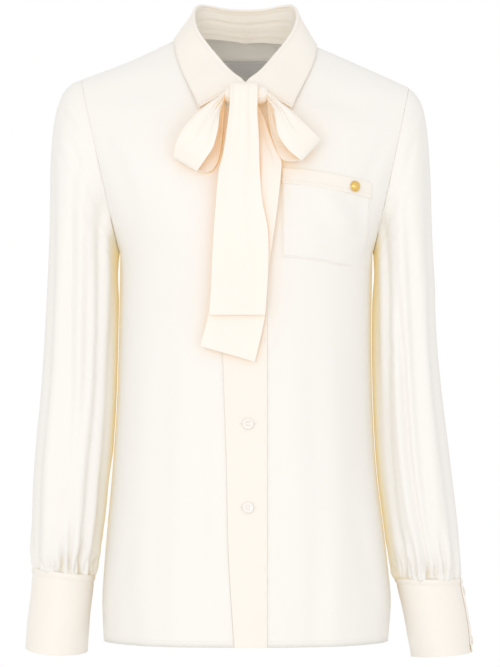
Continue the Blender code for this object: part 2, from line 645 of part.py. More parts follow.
def sleeve_push(ring, side, angles, fine):
    """How far a section's points move out: the long folds, and the gathers near the cuff."""
    z = (ring.outer_z + ring.inner_z) / 2
    push = np.zeros_like(angles)
    for crease in CREASES[side]:
        away = (np.degrees(angles) - crease.angle + 180) % 360 - 180
        fade = smooth(z, crease.low - 0.03, crease.low) * (1 - smooth(z, crease.high - 0.12, crease.high))
        push -= crease.depth * fade * np.exp(-((away / crease.width) ** 2))
        push += 0.5 * crease.depth * fade * np.exp(-(((away - 1.7 * crease.width) / crease.width) ** 2))
    if fine:
        last = SLEEVE_RIGHT[-1] if side == "right" else SLEEVE_LEFT[-1]
        above = z - (last.outer_z + last.inner_z) / 2
        fade = (1 - smooth(above, 0.0, GATHER_LENGTH)) * (0.35 + 0.65 * smooth(above, 0.0, 0.010))
        push += GATHER_DEPTH * fade * np.cos(GATHERS * angles)
    return push


def build_sleeves():
    """Both sleeves: sections that fan round the underarm, then run level down to the cuff."""
    for side, sign, table in (("right", -1, SLEEVE_RIGHT), ("left", 1, SLEEVE_LEFT)):
        rings = []
        for i, ring in enumerate(table):
            fine = i >= FINE_FROM
            count = SLEEVE_POINTS * (2 if fine else 1)
            angles = np.linspace(0, 2 * math.pi, count, endpoint=False)
            push = sleeve_push(ring, side, angles, fine)
            rings.append(sleeve_section(ring, sign, angles, push))
        loft(f"sleeve_{side}", rings, CREPE, SINGLE, closed=True)


def cuff_angles(side, share):
    """Angle round a cuff for a share of its strip, from the end of the lap's top layer."""
    return CUFF_END[side] - share * (2 * math.pi + CUFF_LAP)


def cuff_push(share):
    """The lap's top layer lies out and the layer under it lies in."""
    return CUFF_LAP_GAP * (0.5 - smooth(share, 0.10, 0.85))


def build_cuffs():
    """Both cuffs: a strip that laps over its own end on the outer side, with a rounded lower corner."""
    for side, sign, table in (("right", -1, CUFF_RIGHT), ("left", 1, CUFF_LEFT)):
        share = np.linspace(0, 1, CUFF_POINTS + 4)
        angles = cuff_angles(side, share)
        push = cuff_push(share)
        rows = [sleeve_section(ring, sign, angles, push) for ring in table]
        rows[-1][:, 2] -= CUFF_DROOP[side] * np.abs(np.sin(angles))
        turn = share * (2 * math.pi + CUFF_LAP) * table[-1].front
        left_over = np.clip(CUFF_CORNER - turn, 0, CUFF_CORNER)
        rows[-1][:, 2] += CUFF_CORNER - np.sqrt(CUFF_CORNER**2 - left_over**2)
        loft(f"cuff_{side}", rows, CREPE_DOUBLE, DOUBLE)
        build_cuff_buttons(side, sign, table)


def build_cuff_buttons(side, sign, table):
    """Two buttons on the lap's top layer, behind its end."""
    angle = np.array([CUFF_END[side] - CUFF_BUTTON_BACK])
    share = CUFF_BUTTON_BACK / (2 * math.pi + CUFF_LAP)
    for number, (upper, lower) in enumerate(zip(table[::2], table[1::2]), 1):
        lift = float(cuff_push(share)) + DOUBLE / 2 + GAP
        ends = [sleeve_section(ring, sign, angle, np.array([lift]))[0] for ring in (upper, lower)]
        tops = [sleeve_section(ring, sign, angle, np.array([lift + 0.01]))[0] for ring in (upper, lower)]
        place = (ends[0] + ends[1]) / 2
        out = (tops[0] + tops[1]) / 2 - place
        along = ends[1] - ends[0]
        out = out - along * (out @ along) / (along @ along)
        build_button(f"cuff_button_{side}_{number}", place, out / np.linalg.norm(out))


def build_button(name, place, out):
    """A flat round button with softened edges, its back at a place."""
    bpy.ops.mesh.primitive_cylinder_add(vertices=16, radius=BUTTON_RADIUS, depth=BUTTON_HEIGHT)
    made = bpy.context.object
    made.name = name
    for collection in list(made.users_collection):
        collection.objects.unlink(made)
    parts.objects.link(made)
    made.data.materials.append(PEARL)
    made.rotation_mode = "QUATERNION"
    made.rotation_quaternion = Vector(out).to_track_quat("Z", "Y")
    made.location = Vector(place) + Vector(out) * BUTTON_HEIGHT / 2
    bevel = made.modifiers.new("edge", "BEVEL")
    bevel.width = BUTTON_EDGE
    bevel.segments = 1
    bevel.limit_method = "ANGLE"
    made.data.shade_smooth()
    made.data.set_sharp_from_angle(angle=math.radians(50))


def build_front_buttons():
    """Five buttons down the placket."""
    out = SINGLE / 2 + LAID_GAP + DOUBLE + GAP
    for number in range(BUTTON_COUNT):
        x = np.array([BUTTON_X])
        z = np.array([BUTTON_TOP_Z - BUTTON_SPACING * number])
        row = row_at(x, z)
        place = over_torso(x, row, np.array([out]))[0]
        build_button(f"front_button_{number + 1}", place, outward(x, row)[0])


def build_stud():
    """A plain low dome on the pocket's band."""
    x, z = np.array([STUD_X]), np.array([STUD_Z])
    row = row_at(x, z)
    out = outward(x, row)[0]
    place = over_torso(x, row, np.array([SINGLE / 2 + LAID_GAP + POCKET_BAND_WALL + GAP]))[0]
    steps = np.linspace(0, math.pi / 2, 5)
    profile = [(STUD_RADIUS * math.sin(a), STUD_HEIGHT * math.cos(a)) for a in steps] + [(0.0, 0.0)]
    mesh = bpy.data.meshes.new("pocket_stud")
    vertices = [(x, 0, z) for x, z in profile]
    mesh.from_pydata(vertices, [(i, i + 1) for i in range(len(vertices) - 1)], [])
    made = add_object("pocket_stud", mesh, GILT)
    screw = made.modifiers.new("turn", "SCREW")
    screw.steps = screw.render_steps = 18
    screw.use_merge_vertices = True
    screw.merge_threshold = 0.00001
    screw.use_smooth_shade = True
    made.rotation_mode = "QUATERNION"
    made.rotation_quaternion = Vector(out).to_track_quat("Z", "Y")
    made.location = Vector(place)


def build_collar():
    """The stand round the neck, the fall over it, and the tie's band between the two."""
    rows = FRONT_NECK_ROWS[:1] + FRONT_NECK_ROWS[2:] + [1 + row for row in BACK_NECK_ROWS[1:]]
    half = np.array([neck_station(row) for row in rows])
    s = np.concatenate([half - 1, 1 - half[-2::-1]])
    bottom, top, slope, out = around_neck(s)
    rows = [bottom + (top - bottom) * v for v in (0.0, 0.5, 1.0)]
    loft("collar_stand", rows, CREPE_DOUBLE, DOUBLE)

    part, sign = 1 - np.abs(s), np.where(s < 0, -1.0, 1.0)
    edge = over_torso(
        sign * np.maximum(curve(part, FALL, "x"), 0.0),
        curve(part, FALL, "row"),
        curve(part, FALL, "clear"),
    )
    bulge = out * curve(part, FALL, "bulge")[:, None]
    rows = []
    for turn in (0.0, math.pi / 4, math.pi / 2):
        rows.append(top + FOLD_RADIUS * (slope * math.cos(turn) + out * math.sin(turn)))
    for w in (0.12, 0.30, 0.55, 0.80, 1.0):
        rows.append(rows[2] + (edge - rows[2]) * w + bulge * math.sin(math.pi * w**0.6))
    loft("collar_leaf", rows, CREPE_DOUBLE, DOUBLE)

    s = np.concatenate([[-BAND_END], s[np.abs(s) < BAND_LEAVES], [BAND_END]])
    bottom, top, slope, out = around_neck(s)
    reach = BAND_OUT + BAND_TO_KNOT * smooth(np.abs(s), BAND_LEAVES, BAND_END)
    drop = BAND_DROP * smooth(np.abs(s), BAND_DROPS_FROM, BAND_LEAVES)
    rows = []
    for v in (BAND_LOW - drop, BAND_HIGH - drop):
        rows.append(bottom + (top - bottom) * v[:, None] + out * reach[:, None])
    loft("tie_band", rows, TIE, DOUBLE)


def build_bow():
    """The knot, the two loops, and the two hanging ends."""
    mesh = bpy.data.meshes.new("tie_knot")
    work = bmesh.new()
    bmesh.ops.create_uvsphere(work, u_segments=16, v_segments=10, radius=1)
    bmesh.ops.scale(work, vec=KNOT_HALF, verts=work.verts)
    bmesh.ops.translate(work, vec=KNOT_CENTRE, verts=work.verts)
    work.to_mesh(mesh)
    work.free()
    add_object("tie_knot", mesh, TIE)

    q = np.linspace(0, 1, 6)[:, None]
    for name, table in (("bow_loop_right", LOOP_RIGHT), ("bow_loop_left", LOOP_LEFT)):
        rows = []
        for i, strip in enumerate(table):
            upper = np.array([strip.top_x, strip.top_y, strip.top_z])
            lower = np.array([strip.low_x, strip.low_y, strip.low_z])
            points = upper + (lower - upper) * q
            bulge = LOOP_BULGE * math.sin(math.pi * i / (len(table) - 1) * 2)
            points[:, 1] -= (bulge * np.sin(math.pi * q))[:, 0]
            rows.append(points)
        loft(name, rows, TIE, DOUBLE)

    q = np.linspace(0, 1, 5)[:, None]
    for name, table in (("tie_tail_front", TAIL_FRONT), ("tie_tail_back", TAIL_BACK)):
        rows = []
        for hang in table:
            left = np.array([hang.left_x, hang.y, hang.left_z])
            right = np.array([hang.right_x, hang.y, hang.right_z])
            rows.append(left + (right - left) * q)
        loft(name, rows, TIE, DOUBLE)


for old in list(bpy.data.objects):
    bpy.data.objects.remove(old)
parts = bpy.data.collections.new("tie_neck_blouse")
bpy.context.scene.collection.children.link(parts)

CREPE = material("ivory_crepe", "FCFAF3", 0.55)
CREPE_DOUBLE = material("ivory_crepe_double", "FCF9F1", 0.55)
TIE = material("ivory_crepe_tie", "FDF8EE", 0.50)
PEARL = material("pearl_button", "F4F1EA", 0.25)
GILT = material("gilt_stud", "D8B46A", 0.25, 1.0)
LABEL = material("woven_label", "C9C9C8", 0.80)

build_fronts()
build_back()
build_placket()
build_pocket()
build_label()
build_sleeves()
build_cuffs()
build_front_buttons()
build_stud()
build_collar()
build_bow()
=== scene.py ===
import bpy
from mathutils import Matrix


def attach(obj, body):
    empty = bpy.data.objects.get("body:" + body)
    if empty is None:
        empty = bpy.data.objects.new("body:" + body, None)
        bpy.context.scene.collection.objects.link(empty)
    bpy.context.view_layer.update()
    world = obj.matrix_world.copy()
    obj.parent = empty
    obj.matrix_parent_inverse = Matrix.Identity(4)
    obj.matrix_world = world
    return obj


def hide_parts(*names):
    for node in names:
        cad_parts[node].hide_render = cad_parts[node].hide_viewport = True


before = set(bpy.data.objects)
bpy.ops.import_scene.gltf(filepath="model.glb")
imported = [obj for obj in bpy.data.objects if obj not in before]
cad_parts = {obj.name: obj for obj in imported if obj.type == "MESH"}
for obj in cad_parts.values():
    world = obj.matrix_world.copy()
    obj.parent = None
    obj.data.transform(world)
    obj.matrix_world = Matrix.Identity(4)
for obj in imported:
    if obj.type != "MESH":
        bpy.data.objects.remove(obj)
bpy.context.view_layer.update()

import json
import math

import bpy
import numpy as np
from mathutils import Vector

# Tie neck blouse in ivory silk crepe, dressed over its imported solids.
# Metres, +Z up, the front faces -Y, and the wearer's left is +X.
print("frame loaded")


# Numbers and curves

def table(names, rows):
    # named columns from short rows, with each row's share of the way down as a column of its own
    columns = dict(zip(names.split(), np.array(rows, float).T))
    columns["share"] = np.linspace(0, 1, len(rows))
    return columns


def along(at, rows, column, key="share"):
    # cubic pieces through the rows, each starting and ending with the table's own slope
    order = np.argsort(rows[key])
    keys, values = rows[key][order], rows[column][order]
    slopes = np.gradient(values, keys)
    i = np.clip(np.searchsorted(keys, at) - 1, 0, len(keys) - 2)
    span = keys[i + 1] - keys[i]
    t = np.clip((at - keys[i]) / span, 0, 1)
    start = values[i] * (1 + 2 * t) * (1 - t) ** 2 + slopes[i] * span * t * (1 - t) ** 2
    end = values[i + 1] * t**2 * (3 - 2 * t) - slopes[i + 1] * span * t**2 * (1 - t)
    return start + end


def softStep(value, low, high):
    # 0 below low, 1 above high, and a smooth s between them
    t = np.clip((value - low) / (high - low), 0, 1)
    return t * t * (3 - 2 * t)


def bell(value, centre, width):
    # 1 at the centre, falling as the exponential of minus the square of the distance over the width
    return np.exp(-(((value - centre) / width) ** 2))


def creaseHeight(a, b, creases):
    # each crease is a ridge (or a valley, where its height is below 0) with a bell-shaped section
    # about a bowed line from its start to its end, with a weaker hollow along one side
    total = np.zeros(np.broadcast(a, b).shape)
    for startA, startB, endA, endB, bow, width, height in creases:
        da, db = endA - startA, endB - startB
        length = math.hypot(da, db)
        t = ((a - startA) * da + (b - startB) * db) / length**2
        off = ((b - startB) * da - (a - startA) * db) / length - bow * 4 * t * (1 - t)
        fade = softStep(t, -0.12, 0.28) * (1 - softStep(t, 0.72, 1.12))
        total += height * fade * bell(off, 0, width)
        total -= 0.45 * height * fade * bell(off, 1.7 * width, width)
    return total


# Torso surface, as the solids have it

torsoSize = {
    "hemZ": -0.678, "underarmZ": -0.235, "chestDip": 0.010, "crownZ": 0.021,
    "armFront": 0.058, "armBack": 0.055, "sideGap": 0.0005,
    "crestPower": 2.2, "frontRound": 1.42, "backRound": 0.37, "acrossPower": 2.3, "flatness": 1.3,
    "sagFrom": 0.43, "columnPower": 1.15,
    "neckHalf": 0.064, "shoulderAt": 0.55,
    "frontPit": 0.7095, "frontPower": 1.667, "backPit": 0.925, "backPower": 1.333,
    "right": {"tipX": 0.1880, "tipZ": -0.0345, "underX": 0.1435, "drop": 0.0000, "sag": 0.0068},
    "left": {"tipX": 0.1870, "tipZ": -0.0437, "underX": 0.1455, "drop": 0.0066, "sag": 0.0040},
}
bodyRows = table("z right left front back", [
    (-0.678, 0.1625, 0.1635, 0.134, 0.128), (-0.630, 0.1640, 0.1665, 0.132, 0.126),
    (-0.590, 0.1617, 0.1628, 0.130, 0.123), (-0.540, 0.1575, 0.1568, 0.127, 0.119),
    (-0.490, 0.1530, 0.1505, 0.124, 0.115), (-0.400, 0.1470, 0.1452, 0.121, 0.110),
    (-0.320, 0.1448, 0.1442, 0.122, 0.112), (-0.235, 0.1435, 0.1455, 0.126, 0.118),
])


def torsoRow(row, right):
    # rows run from -1 at the front hem over 0 at the underarm and 1 at the shoulder to 3 at the back hem
    s = torsoSize
    front = row <= 1
    face = np.where(front, -1.0, 1.0)
    level = np.where(front, row, 2 - row)
    up, down = np.clip(level, 0, 1), np.clip(-level, 0, 1)
    lowZ = s["underarmZ"] + (s["hemZ"] - s["underarmZ"]) * down
    pick = {k: np.where(right, s["right"][k], s["left"][k]) for k in s["right"]}
    half = np.where(right, along(lowZ, bodyRows, "right", "z"), along(lowZ, bodyRows, "left", "z"))
    depth = np.where(front, along(lowZ, bodyRows, "front", "z"), along(lowZ, bodyRows, "back", "z"))
    swing = np.cos(math.pi * up)
    sideX = (pick["tipX"] + pick["underX"]) / 2 - (pick["tipX"] - pick["underX"]) / 2 * swing
    sideX = np.where(level > 0, sideX, half)
    sideZ = (pick["tipZ"] + s["underarmZ"]) / 2 - (pick["tipZ"] - s["underarmZ"]) / 2 * swing
    sideZ = np.where(level > 0, sideZ, lowZ)
    arm = np.where(front, s["armFront"], s["armBack"])
    sideY = face * (np.where(level > 0, arm * np.sin(math.pi * up), 0) + s["sideGap"])
    turn = math.pi / 2 * up ** s["crestPower"]
    power = np.where(front, s["frontRound"], s["backRound"])
    middleY = face * depth * np.maximum(np.cos(turn), 1e-9) ** power
    chestZ = s["underarmZ"] - s["chestDip"]
    riseZ = chestZ + (s["crownZ"] - chestZ) * np.sin(turn)
    middleZ = np.where(level > 0, riseZ, lowZ - s["chestDip"] * (1 - down) ** 4)
    flat = 1 + s["flatness"] * (1 - up) ** 3
    drop = pick["drop"] * softStep(up, 0.7, 1.0)
    sag = pick["sag"] * softStep(up, 0.6, 1.0)
    return sideX, sideY, sideZ, middleY, middleZ, flat, drop, sag


def torso(x, row):
    # across a row, depth falls off as a rounded power of x over the half width, height as its square
    x, row = np.broadcast_arrays(np.asarray(x, float), np.asarray(row, float))
    sideX, sideY, sideZ, middleY, middleZ, flat, drop, sag = torsoRow(row, x < 0)
    s = torsoSize
    t = np.clip(np.abs(x) / sideX, 0, 1)
    y = sideY + (middleY - sideY) * (1 - t ** s["acrossPower"]) ** (1 / flat)
    z = sideZ + (middleZ - sideZ - drop * softStep(np.abs(x), 0, s["neckHalf"])) * (1 - t**2)
    z = z - sag * np.sin(math.pi * np.clip((t - s["sagFrom"]) / (1 - s["sagFrom"]), 0, 1))
    return np.stack([x, y, z], axis=-1)


def rowAt(x, z, hem=-1.0):
    # halves the rows between a hem and the shoulder until the surface passes through x and z
    x, z = np.broadcast_arrays(np.asarray(x, float), np.asarray(z, float))
    low, high = np.full(x.shape, hem), np.full(x.shape, 1.0 if hem < 0 else 1.000001)
    for _ in range(30):
        middle = (low + high) / 2
        above = torso(x, middle)[..., 2] > z
        high = np.where(above, middle, high)
        low = np.where(above, low, middle)
    return (low + high) / 2


def unit(v):
    # divided by its own length
    return v / np.linalg.norm(v, axis=-1, keepdims=True)


def outward(x, row):
    # the cross product of one small step across and one along the rows
    step = 1e-4
    across = torso(x + step, row) - torso(x - step, row)
    down = torso(x, row + step) - torso(x, row - step)
    return unit(np.cross(across, down))


# Soft folds of the body: from x, z to x, z, bow, width and height. The picture shows a shallow hollow
# under each shoulder, pulls from the armholes and long soft folds that hang from the chest.
frontFolds = [
    (-0.165, -0.060, -0.080, -0.050, 0.006, 0.014, -0.0018),
    (0.168, -0.070, 0.080, -0.048, 0.008, 0.015, -0.0024),
    (-0.168, -0.095, -0.128, -0.215, 0.010, 0.009, -0.0012),
    (0.166, -0.100, 0.128, -0.215, -0.010, 0.009, -0.0014),
    (-0.134, -0.225, -0.070, -0.290, 0.006, 0.010, 0.0012),
    (0.136, -0.222, 0.084, -0.280, -0.006, 0.010, 0.0014),
    (-0.112, -0.290, -0.128, -0.660, 0.004, 0.015, 0.0017),
    (-0.078, -0.330, -0.088, -0.690, 0.005, 0.016, 0.0016),
    (-0.045, -0.420, -0.050, -0.690, -0.004, 0.011, -0.0011),
    (0.052, -0.300, 0.060, -0.690, 0.004, 0.014, 0.0015),
    (0.086, -0.290, 0.100, -0.690, 0.006, 0.016, 0.0019),
    (0.122, -0.300, 0.140, -0.660, -0.004, 0.013, -0.0012),
    (-0.140, -0.440, -0.060, -0.462, -0.003, 0.006, 0.0005),
    (-0.062, -0.100, -0.084, -0.175, 0.004, 0.012, -0.0009),
    (0.070, -0.085, 0.110, -0.125, 0.004, 0.012, -0.0010),
    (-0.120, -0.520, -0.150, -0.640, 0.003, 0.010, -0.0010),
    (0.126, -0.540, 0.152, -0.650, 0.003, 0.010, -0.0012),
]
backFolds = [
    (-0.160, -0.075, -0.060, -0.055, 0.008, 0.015, -0.0018),
    (0.162, -0.080, 0.064, -0.052, 0.009, 0.015, -0.0019),
    (-0.160, -0.110, -0.110, -0.230, 0.012, 0.010, -0.0014),
    (0.160, -0.115, 0.108, -0.235, -0.012, 0.010, -0.0014),
    (-0.100, -0.230, -0.118, -0.670, 0.005, 0.017, 0.0022),
    (-0.050, -0.280, -0.058, -0.690, -0.005, 0.016, 0.0018),
    (0.004, -0.240, 0.000, -0.690, 0.004, 0.018, 0.0014),
    (0.056, -0.270, 0.066, -0.690, 0.005, 0.016, 0.0020),
    (0.104, -0.240, 0.124, -0.670, -0.005, 0.016, 0.0021),
    (-0.130, -0.430, -0.020, -0.455, -0.006, 0.009, 0.0010),
    (0.020, -0.438, 0.132, -0.420, -0.006, 0.009, 0.0010),
]


def hemWave(x, z):
    # a few sines round the hem, whose height fades out over the lowest 16 cm
    fade = 1 - softStep(z, torsoSize["hemZ"], torsoSize["hemZ"] + 0.16)
    wave = 0.0011 * np.sin(x * 62 + 0.7) + 0.0008 * np.sin(x * 117 + 2.1) + 0.0004 * np.sin(x * 211)
    return wave * fade


def skin(x, row, out=0.0):
    # the torso with its folds, moved out along its own outward direction
    x, row = np.broadcast_arrays(np.asarray(x, float), np.asarray(row, float))
    place = torso(x, row)
    z = place[..., 2]
    sideX = torsoRow(row, x < 0)[0]
    atSeam = 1 - softStep(np.abs(x) / sideX, 0.90, 1.0)
    height = np.where(row <= 1, creaseHeight(x, z, frontFolds), creaseHeight(x, z, backFolds))
    level = np.where(row <= 1, row, 2 - row)
    atSeam = atSeam * (1 - softStep(level, 0.94, 1.0))
    atNeck = softStep(np.abs(x) - neckReach(row), 0.0, 0.03) * (level > 0.5) + (level <= 0.5)
    height = height * atSeam * atNeck + hemWave(x, z) * atSeam
    return place + outward(x, row) * (height + out)[..., None]


def neckReach(row):
    # half width of the neck opening on a row, 0 below it
    s = torsoSize
    front = np.clip((row - s["frontPit"]) / (1 - s["frontPit"]), 0, 1) ** (1 / s["frontPower"])
    back = np.clip((2 - row - s["backPit"]) / (1 - s["backPit"]), 0, 1) ** (1 / s["backPower"])
    return s["neckHalf"] * np.where(row <= 1, front, back)


# Materials

def toLinear(hexColour):
    # sRGB hex to linear: a straight line for the darkest values and a power of 2.4 above them
    parts = [int(hexColour[i : i + 2], 16) / 255 for i in (0, 2, 4)]
    return (*[c / 12.92 if c <= 0.04045 else ((c + 0.055) / 1.055) ** 2.4 for c in parts], 1)


def addNode(tree, kind, settings=None, **links):
    # one node, its settings and sockets by name, and links into its sockets
    node = tree.nodes.new(kind)
    for name, value in (settings or {}).items():
        if name in node.inputs:
            node.inputs[name].default_value = value
        else:
            setattr(node, name, value)
    for name, source in links.items():
        tree.links.new(source, node.inputs[name.replace("_", " ")])
    return node


def principled(name, settings):
    # a new material whose one shader has its sockets set by name
    made = bpy.data.materials.new(name)
    made.use_nodes = True
    shader = made.node_tree.nodes["Principled BSDF"]
    for socket, value in settings.items():
        shader.inputs[socket].default_value = value
    return made, made.node_tree, shader


def mixColour(tree, factor, first, second):
    # the first colour where the factor is 0 and the second where it is 1; each is a value or a socket
    node = tree.nodes.new("ShaderNodeMix")
    node.data_type = "RGBA"
    tree.links.new(factor, node.inputs["Factor"])
    for socket, value in ((node.inputs[6], first), (node.inputs[7], second)):
        if isinstance(value, tuple):
            socket.default_value = value
        else:
            tree.links.new(value, socket)
    return node.outputs[2]


def crepe(name, look):
    # silk crepe: twisted yarns leave a fine pebbled face with a soft low gloss. Real pebbles are about
    # 0.4 mm across, too fine to show, so they are drawn 1.1 mm. Painted shade: where the occlusion node finds
    # thin layers close together, a warmer, darker colour is painted into the base colour in place of the
    # shade there.
    face = crepeFace
    made, tree, shader = principled(name, {
        "Roughness": look["roughness"], "Sheen Weight": face["sheen"],
        "Sheen Roughness": face["sheenRoughness"], "IOR": face["ior"], "Specular IOR Level": face["specular"],
    })
    place = addNode(tree, "ShaderNodeTexCoord").outputs["Object"]
    grain = {"Scale": 1 / face["pebble"], "Detail": 2.0, "Roughness": 0.6}
    pebble = addNode(tree, "ShaderNodeTexNoise", grain, Vector=place)
    cloud = addNode(tree, "ShaderNodeTexNoise", {"Scale": face["cloudScale"], "Detail": 2.0}, Vector=place)
    near = {"samples": 8, "Distance": look["hollowSize"]}
    hollow = addNode(tree, "ShaderNodeAmbientOcclusion", near)
    reach = {"From Min": look["hollowFrom"], "From Max": look["hollowTo"]}
    depth = addNode(tree, "ShaderNodeMapRange", reach, Value=hollow.outputs["AO"])
    tone = mixColour(tree, cloud.outputs["Fac"], toLinear(look["shade"]), toLinear(look["colour"]))
    # painted shade: the base colour turns to the warm darker hollow colour where the occlusion is deep
    colour = mixColour(tree, depth.outputs["Result"], toLinear(look["hollow"]), tone)
    tree.links.new(colour, shader.inputs["Base Color"])
    # painted glow: an emission, strongest where the occlusion is deepest, paints warm light into the hollows
    # where layers stand close together, in place of light that has come through the silk
    shader.inputs["Emission Color"].default_value = toLinear(look["glow"])
    paintedGlowFade = {"From Min": 0.0, "From Max": face["paintedGlowFadeTo"], "To Min": look["paintedGlowStrength"], "To Max": 0.0}
    glow = addNode(tree, "ShaderNodeMapRange", paintedGlowFade, Value=depth.outputs["Result"])
    tree.links.new(glow.outputs["Result"], shader.inputs["Emission Strength"])
    relief = {"Strength": look["relief"], "Distance": face["pebbleHeight"]}
    bump = addNode(tree, "ShaderNodeBump", relief, Height=pebble.outputs["Fac"])
    tree.links.new(bump.outputs["Normal"], shader.inputs["Normal"])
    return made


# shared by all looks, with the occlusion depth at which the painted glow has faded out
crepeFace = {
    "pebble": 0.0011, "pebbleHeight": 0.0004, "sheen": 0.06, "sheenRoughness": 0.5,
    "ior": 1.5, "specular": 0.35, "cloudScale": 9.0, "paintedGlowFadeTo": 0.6,
}
# per look: the cloth's colour and a random tone, then the painted shade colour for hollows, the painted glow
# colour and its strength, and the reach and depth range of the occlusion that paints them
crepeLooks = {
    "silkCrepeWoven": {
        "colour": "F4F2EF", "shade": "F3F0EB", "hollow": "F5EBD0", "glow": "F6DFA2", "paintedGlowStrength": 0.15,
        "roughness": 0.52, "relief": 0.16, "hollowSize": 0.034, "hollowFrom": 0.06, "hollowTo": 0.42,
    },
    "silkCrepeDoubled": {
        "colour": "F6F1EA", "shade": "F4EEE6", "hollow": "F4E7D0", "glow": "F6DCAE", "paintedGlowStrength": 0.05,
        "roughness": 0.50, "relief": 0.14, "hollowSize": 0.024, "hollowFrom": 0.06, "hollowTo": 0.40,
    },
    # the stand's look reaches furthest, painting shade over the whole inside of the neck
    "silkCrepeInterfaced": {
        "colour": "F5F0E7", "shade": "F3EDE2", "hollow": "F3DAB4", "glow": "F6CF98", "paintedGlowStrength": 0.05,
        "roughness": 0.55, "relief": 0.14, "hollowSize": 0.11, "hollowFrom": 0.15, "hollowTo": 0.80,
    },
    # the tie's look paints a deep golden shade and the strongest painted glow into the insides of the loops
    # and between the tails
    "silkCrepeTie": {
        "colour": "F7F3ED", "shade": "F6F0E7", "hollow": "F3D08E", "glow": "F2B54E", "paintedGlowStrength": 0.24,
        "roughness": 0.46, "relief": 0.12, "hollowSize": 0.045, "hollowFrom": 0.10, "hollowTo": 0.50,
    },
}
cloth = {name: crepe(name, look) for name, look in crepeLooks.items()}


def makeTrims():
    # silk sewing thread, spun and dyed to match: the cloth's own colour, with a low gloss
    thread, tree, shader = principled("silkSewingThread", {
        "Base Color": toLinear("F6F1E9"), "Roughness": 0.45, "Sheen Weight": 0.2,
    })
    # mother of pearl, cut and polished: milky, with faint pink and green clouds under a clear gloss
    pearl, tree, shader = principled("motherOfPearlPolished", {
        "Roughness": 0.16, "IOR": 1.56, "Coat Weight": 0.6, "Coat Roughness": 0.06,
    })
    place = addNode(tree, "ShaderNodeTexCoord").outputs["Object"]
    clouds = {"Scale": 260.0, "Detail": 3.0, "Distortion": 1.2}
    cloud = addNode(tree, "ShaderNodeTexNoise", clouds, Vector=place)
    ramp = addNode(tree, "ShaderNodeValToRGB", {}, Fac=cloud.outputs["Fac"])
    ramp.color_ramp.elements[0].color = toLinear("EDEFE6")
    ramp.color_ramp.elements[1].color = toLinear("FFFDFA")
    middle = ramp.color_ramp.elements.new(0.5)
    middle.color = toLinear("F8F0EC")
    tree.links.new(ramp.outputs["Color"], shader.inputs["Base Color"])
    # brass, turned, gilded and polished: warm mirror gloss with hair-fine polishing marks
    gilt, tree, shader = principled("brassGiltPolished", {"Base Color": toLinear("EFCB7A"), "Metallic": 1.0})
    place = addNode(tree, "ShaderNodeTexCoord").outputs["Object"]
    marks = addNode(tree, "ShaderNodeTexNoise", {"Scale": 900.0, "Detail": 2.0}, Vector=place)
    rough = addNode(tree, "ShaderNodeMapRange", {"To Min": 0.24, "To Max": 0.36}, Value=marks.outputs["Fac"])
    tree.links.new(rough.outputs["Result"], shader.inputs["Roughness"])
    # polyester satin tape, woven: fine cross ribs 0.8 mm apart, drawn as wide as they show
    tape, tree, shader = principled("satinTapeWoven", {"Roughness": 0.55, "Sheen Weight": 0.2})
    place = addNode(tree, "ShaderNodeTexCoord").outputs["Object"]
    weave = {"Scale": 1 / (0.0008 * 6.283), "bands_direction": "Z", "Distortion": 0.4}
    ribs = addNode(tree, "ShaderNodeTexWave", weave, Vector=place)
    tone = mixColour(tree, ribs.outputs["Fac"], toLinear("BDBDBD"), toLinear("CECECD"))
    tree.links.new(tone, shader.inputs["Base Color"])
    relief = {"Strength": 0.2, "Distance": 0.0002}
    bump = addNode(tree, "ShaderNodeBump", relief, Height=ribs.outputs["Fac"])
    tree.links.new(bump.outputs["Normal"], shader.inputs["Normal"])
    return {"thread": thread, "pearl": pearl, "gilt": gilt, "tape": tape}


trims = makeTrims()
print("materials made")


# Meshes from grids

def gridFaces(rows, columns, closed, start=0):
    # quads between neighbouring rows and columns, and round to the first column where closed
    spans = np.arange(rows - 1), np.arange(columns if closed else columns - 1)
    r, c = np.meshgrid(*spans, indexing="ij")
    after = (c + 1) % columns
    corners = [r * columns + c, r * columns + after, (r + 1) * columns + after, (r + 1) * columns + c]
    return np.stack(corners, axis=-1).reshape(-1, 4) + start


def joinGrids(grids, closed=False):
    # the points and quads of several grids, one after the other
    points, faces, start = [], [], 0
    for grid in grids:
        points.append(grid.reshape(-1, 3))
        faces.append(gridFaces(*grid.shape[:2], closed, start))
        start += grid.shape[0] * grid.shape[1]
    return np.concatenate(points), np.concatenate(faces)


def meshObject(name, points, faces, material):
    # puts whole arrays of points and quads or triangles into a new mesh
    mesh = bpy.data.meshes.new(name)
    mesh.vertices.add(len(points))
    mesh.vertices.foreach_set("co", points.astype(np.float32).ravel())
    sides = faces.shape[1]
    mesh.loops.add(faces.size)
    mesh.loops.foreach_set("vertex_index", faces.astype(np.int32).ravel())
    mesh.polygons.add(len(faces))
    mesh.polygons.foreach_set("loop_start", np.arange(0, faces.size, sides, dtype=np.int32))
    mesh.update(calc_edges=True)
    mesh.validate()
    mesh.shade_smooth()
    mesh.materials.append(material)
    made = bpy.data.objects.new(name, mesh)
    bpy.context.scene.collection.objects.link(made)
    return made


def gridArea(points, closed=False):
    # half the cross product of each quad's diagonals, summed
    if closed:
        points = np.concatenate([points, points[:, :1]], axis=1)
    first, second = points[1:, 1:] - points[:-1, :-1], points[1:, :-1] - points[:-1, 1:]
    return float(np.linalg.norm(np.cross(first, second), axis=-1).sum() / 2)


def gridSpan(points, closed=False):
    # longest row and longest column, as the cut's width and length
    ring = np.concatenate([points, points[:, :1]], axis=1) if closed else points
    width = np.linalg.norm(np.diff(ring, axis=1), axis=-1).sum(axis=1).max()
    length = np.linalg.norm(np.diff(points, axis=0), axis=-1).sum(axis=0).max()
    return float(width), float(length)


def dress(made, node=None):
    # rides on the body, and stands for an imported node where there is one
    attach(made, "root")
    if node:
        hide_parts(node)


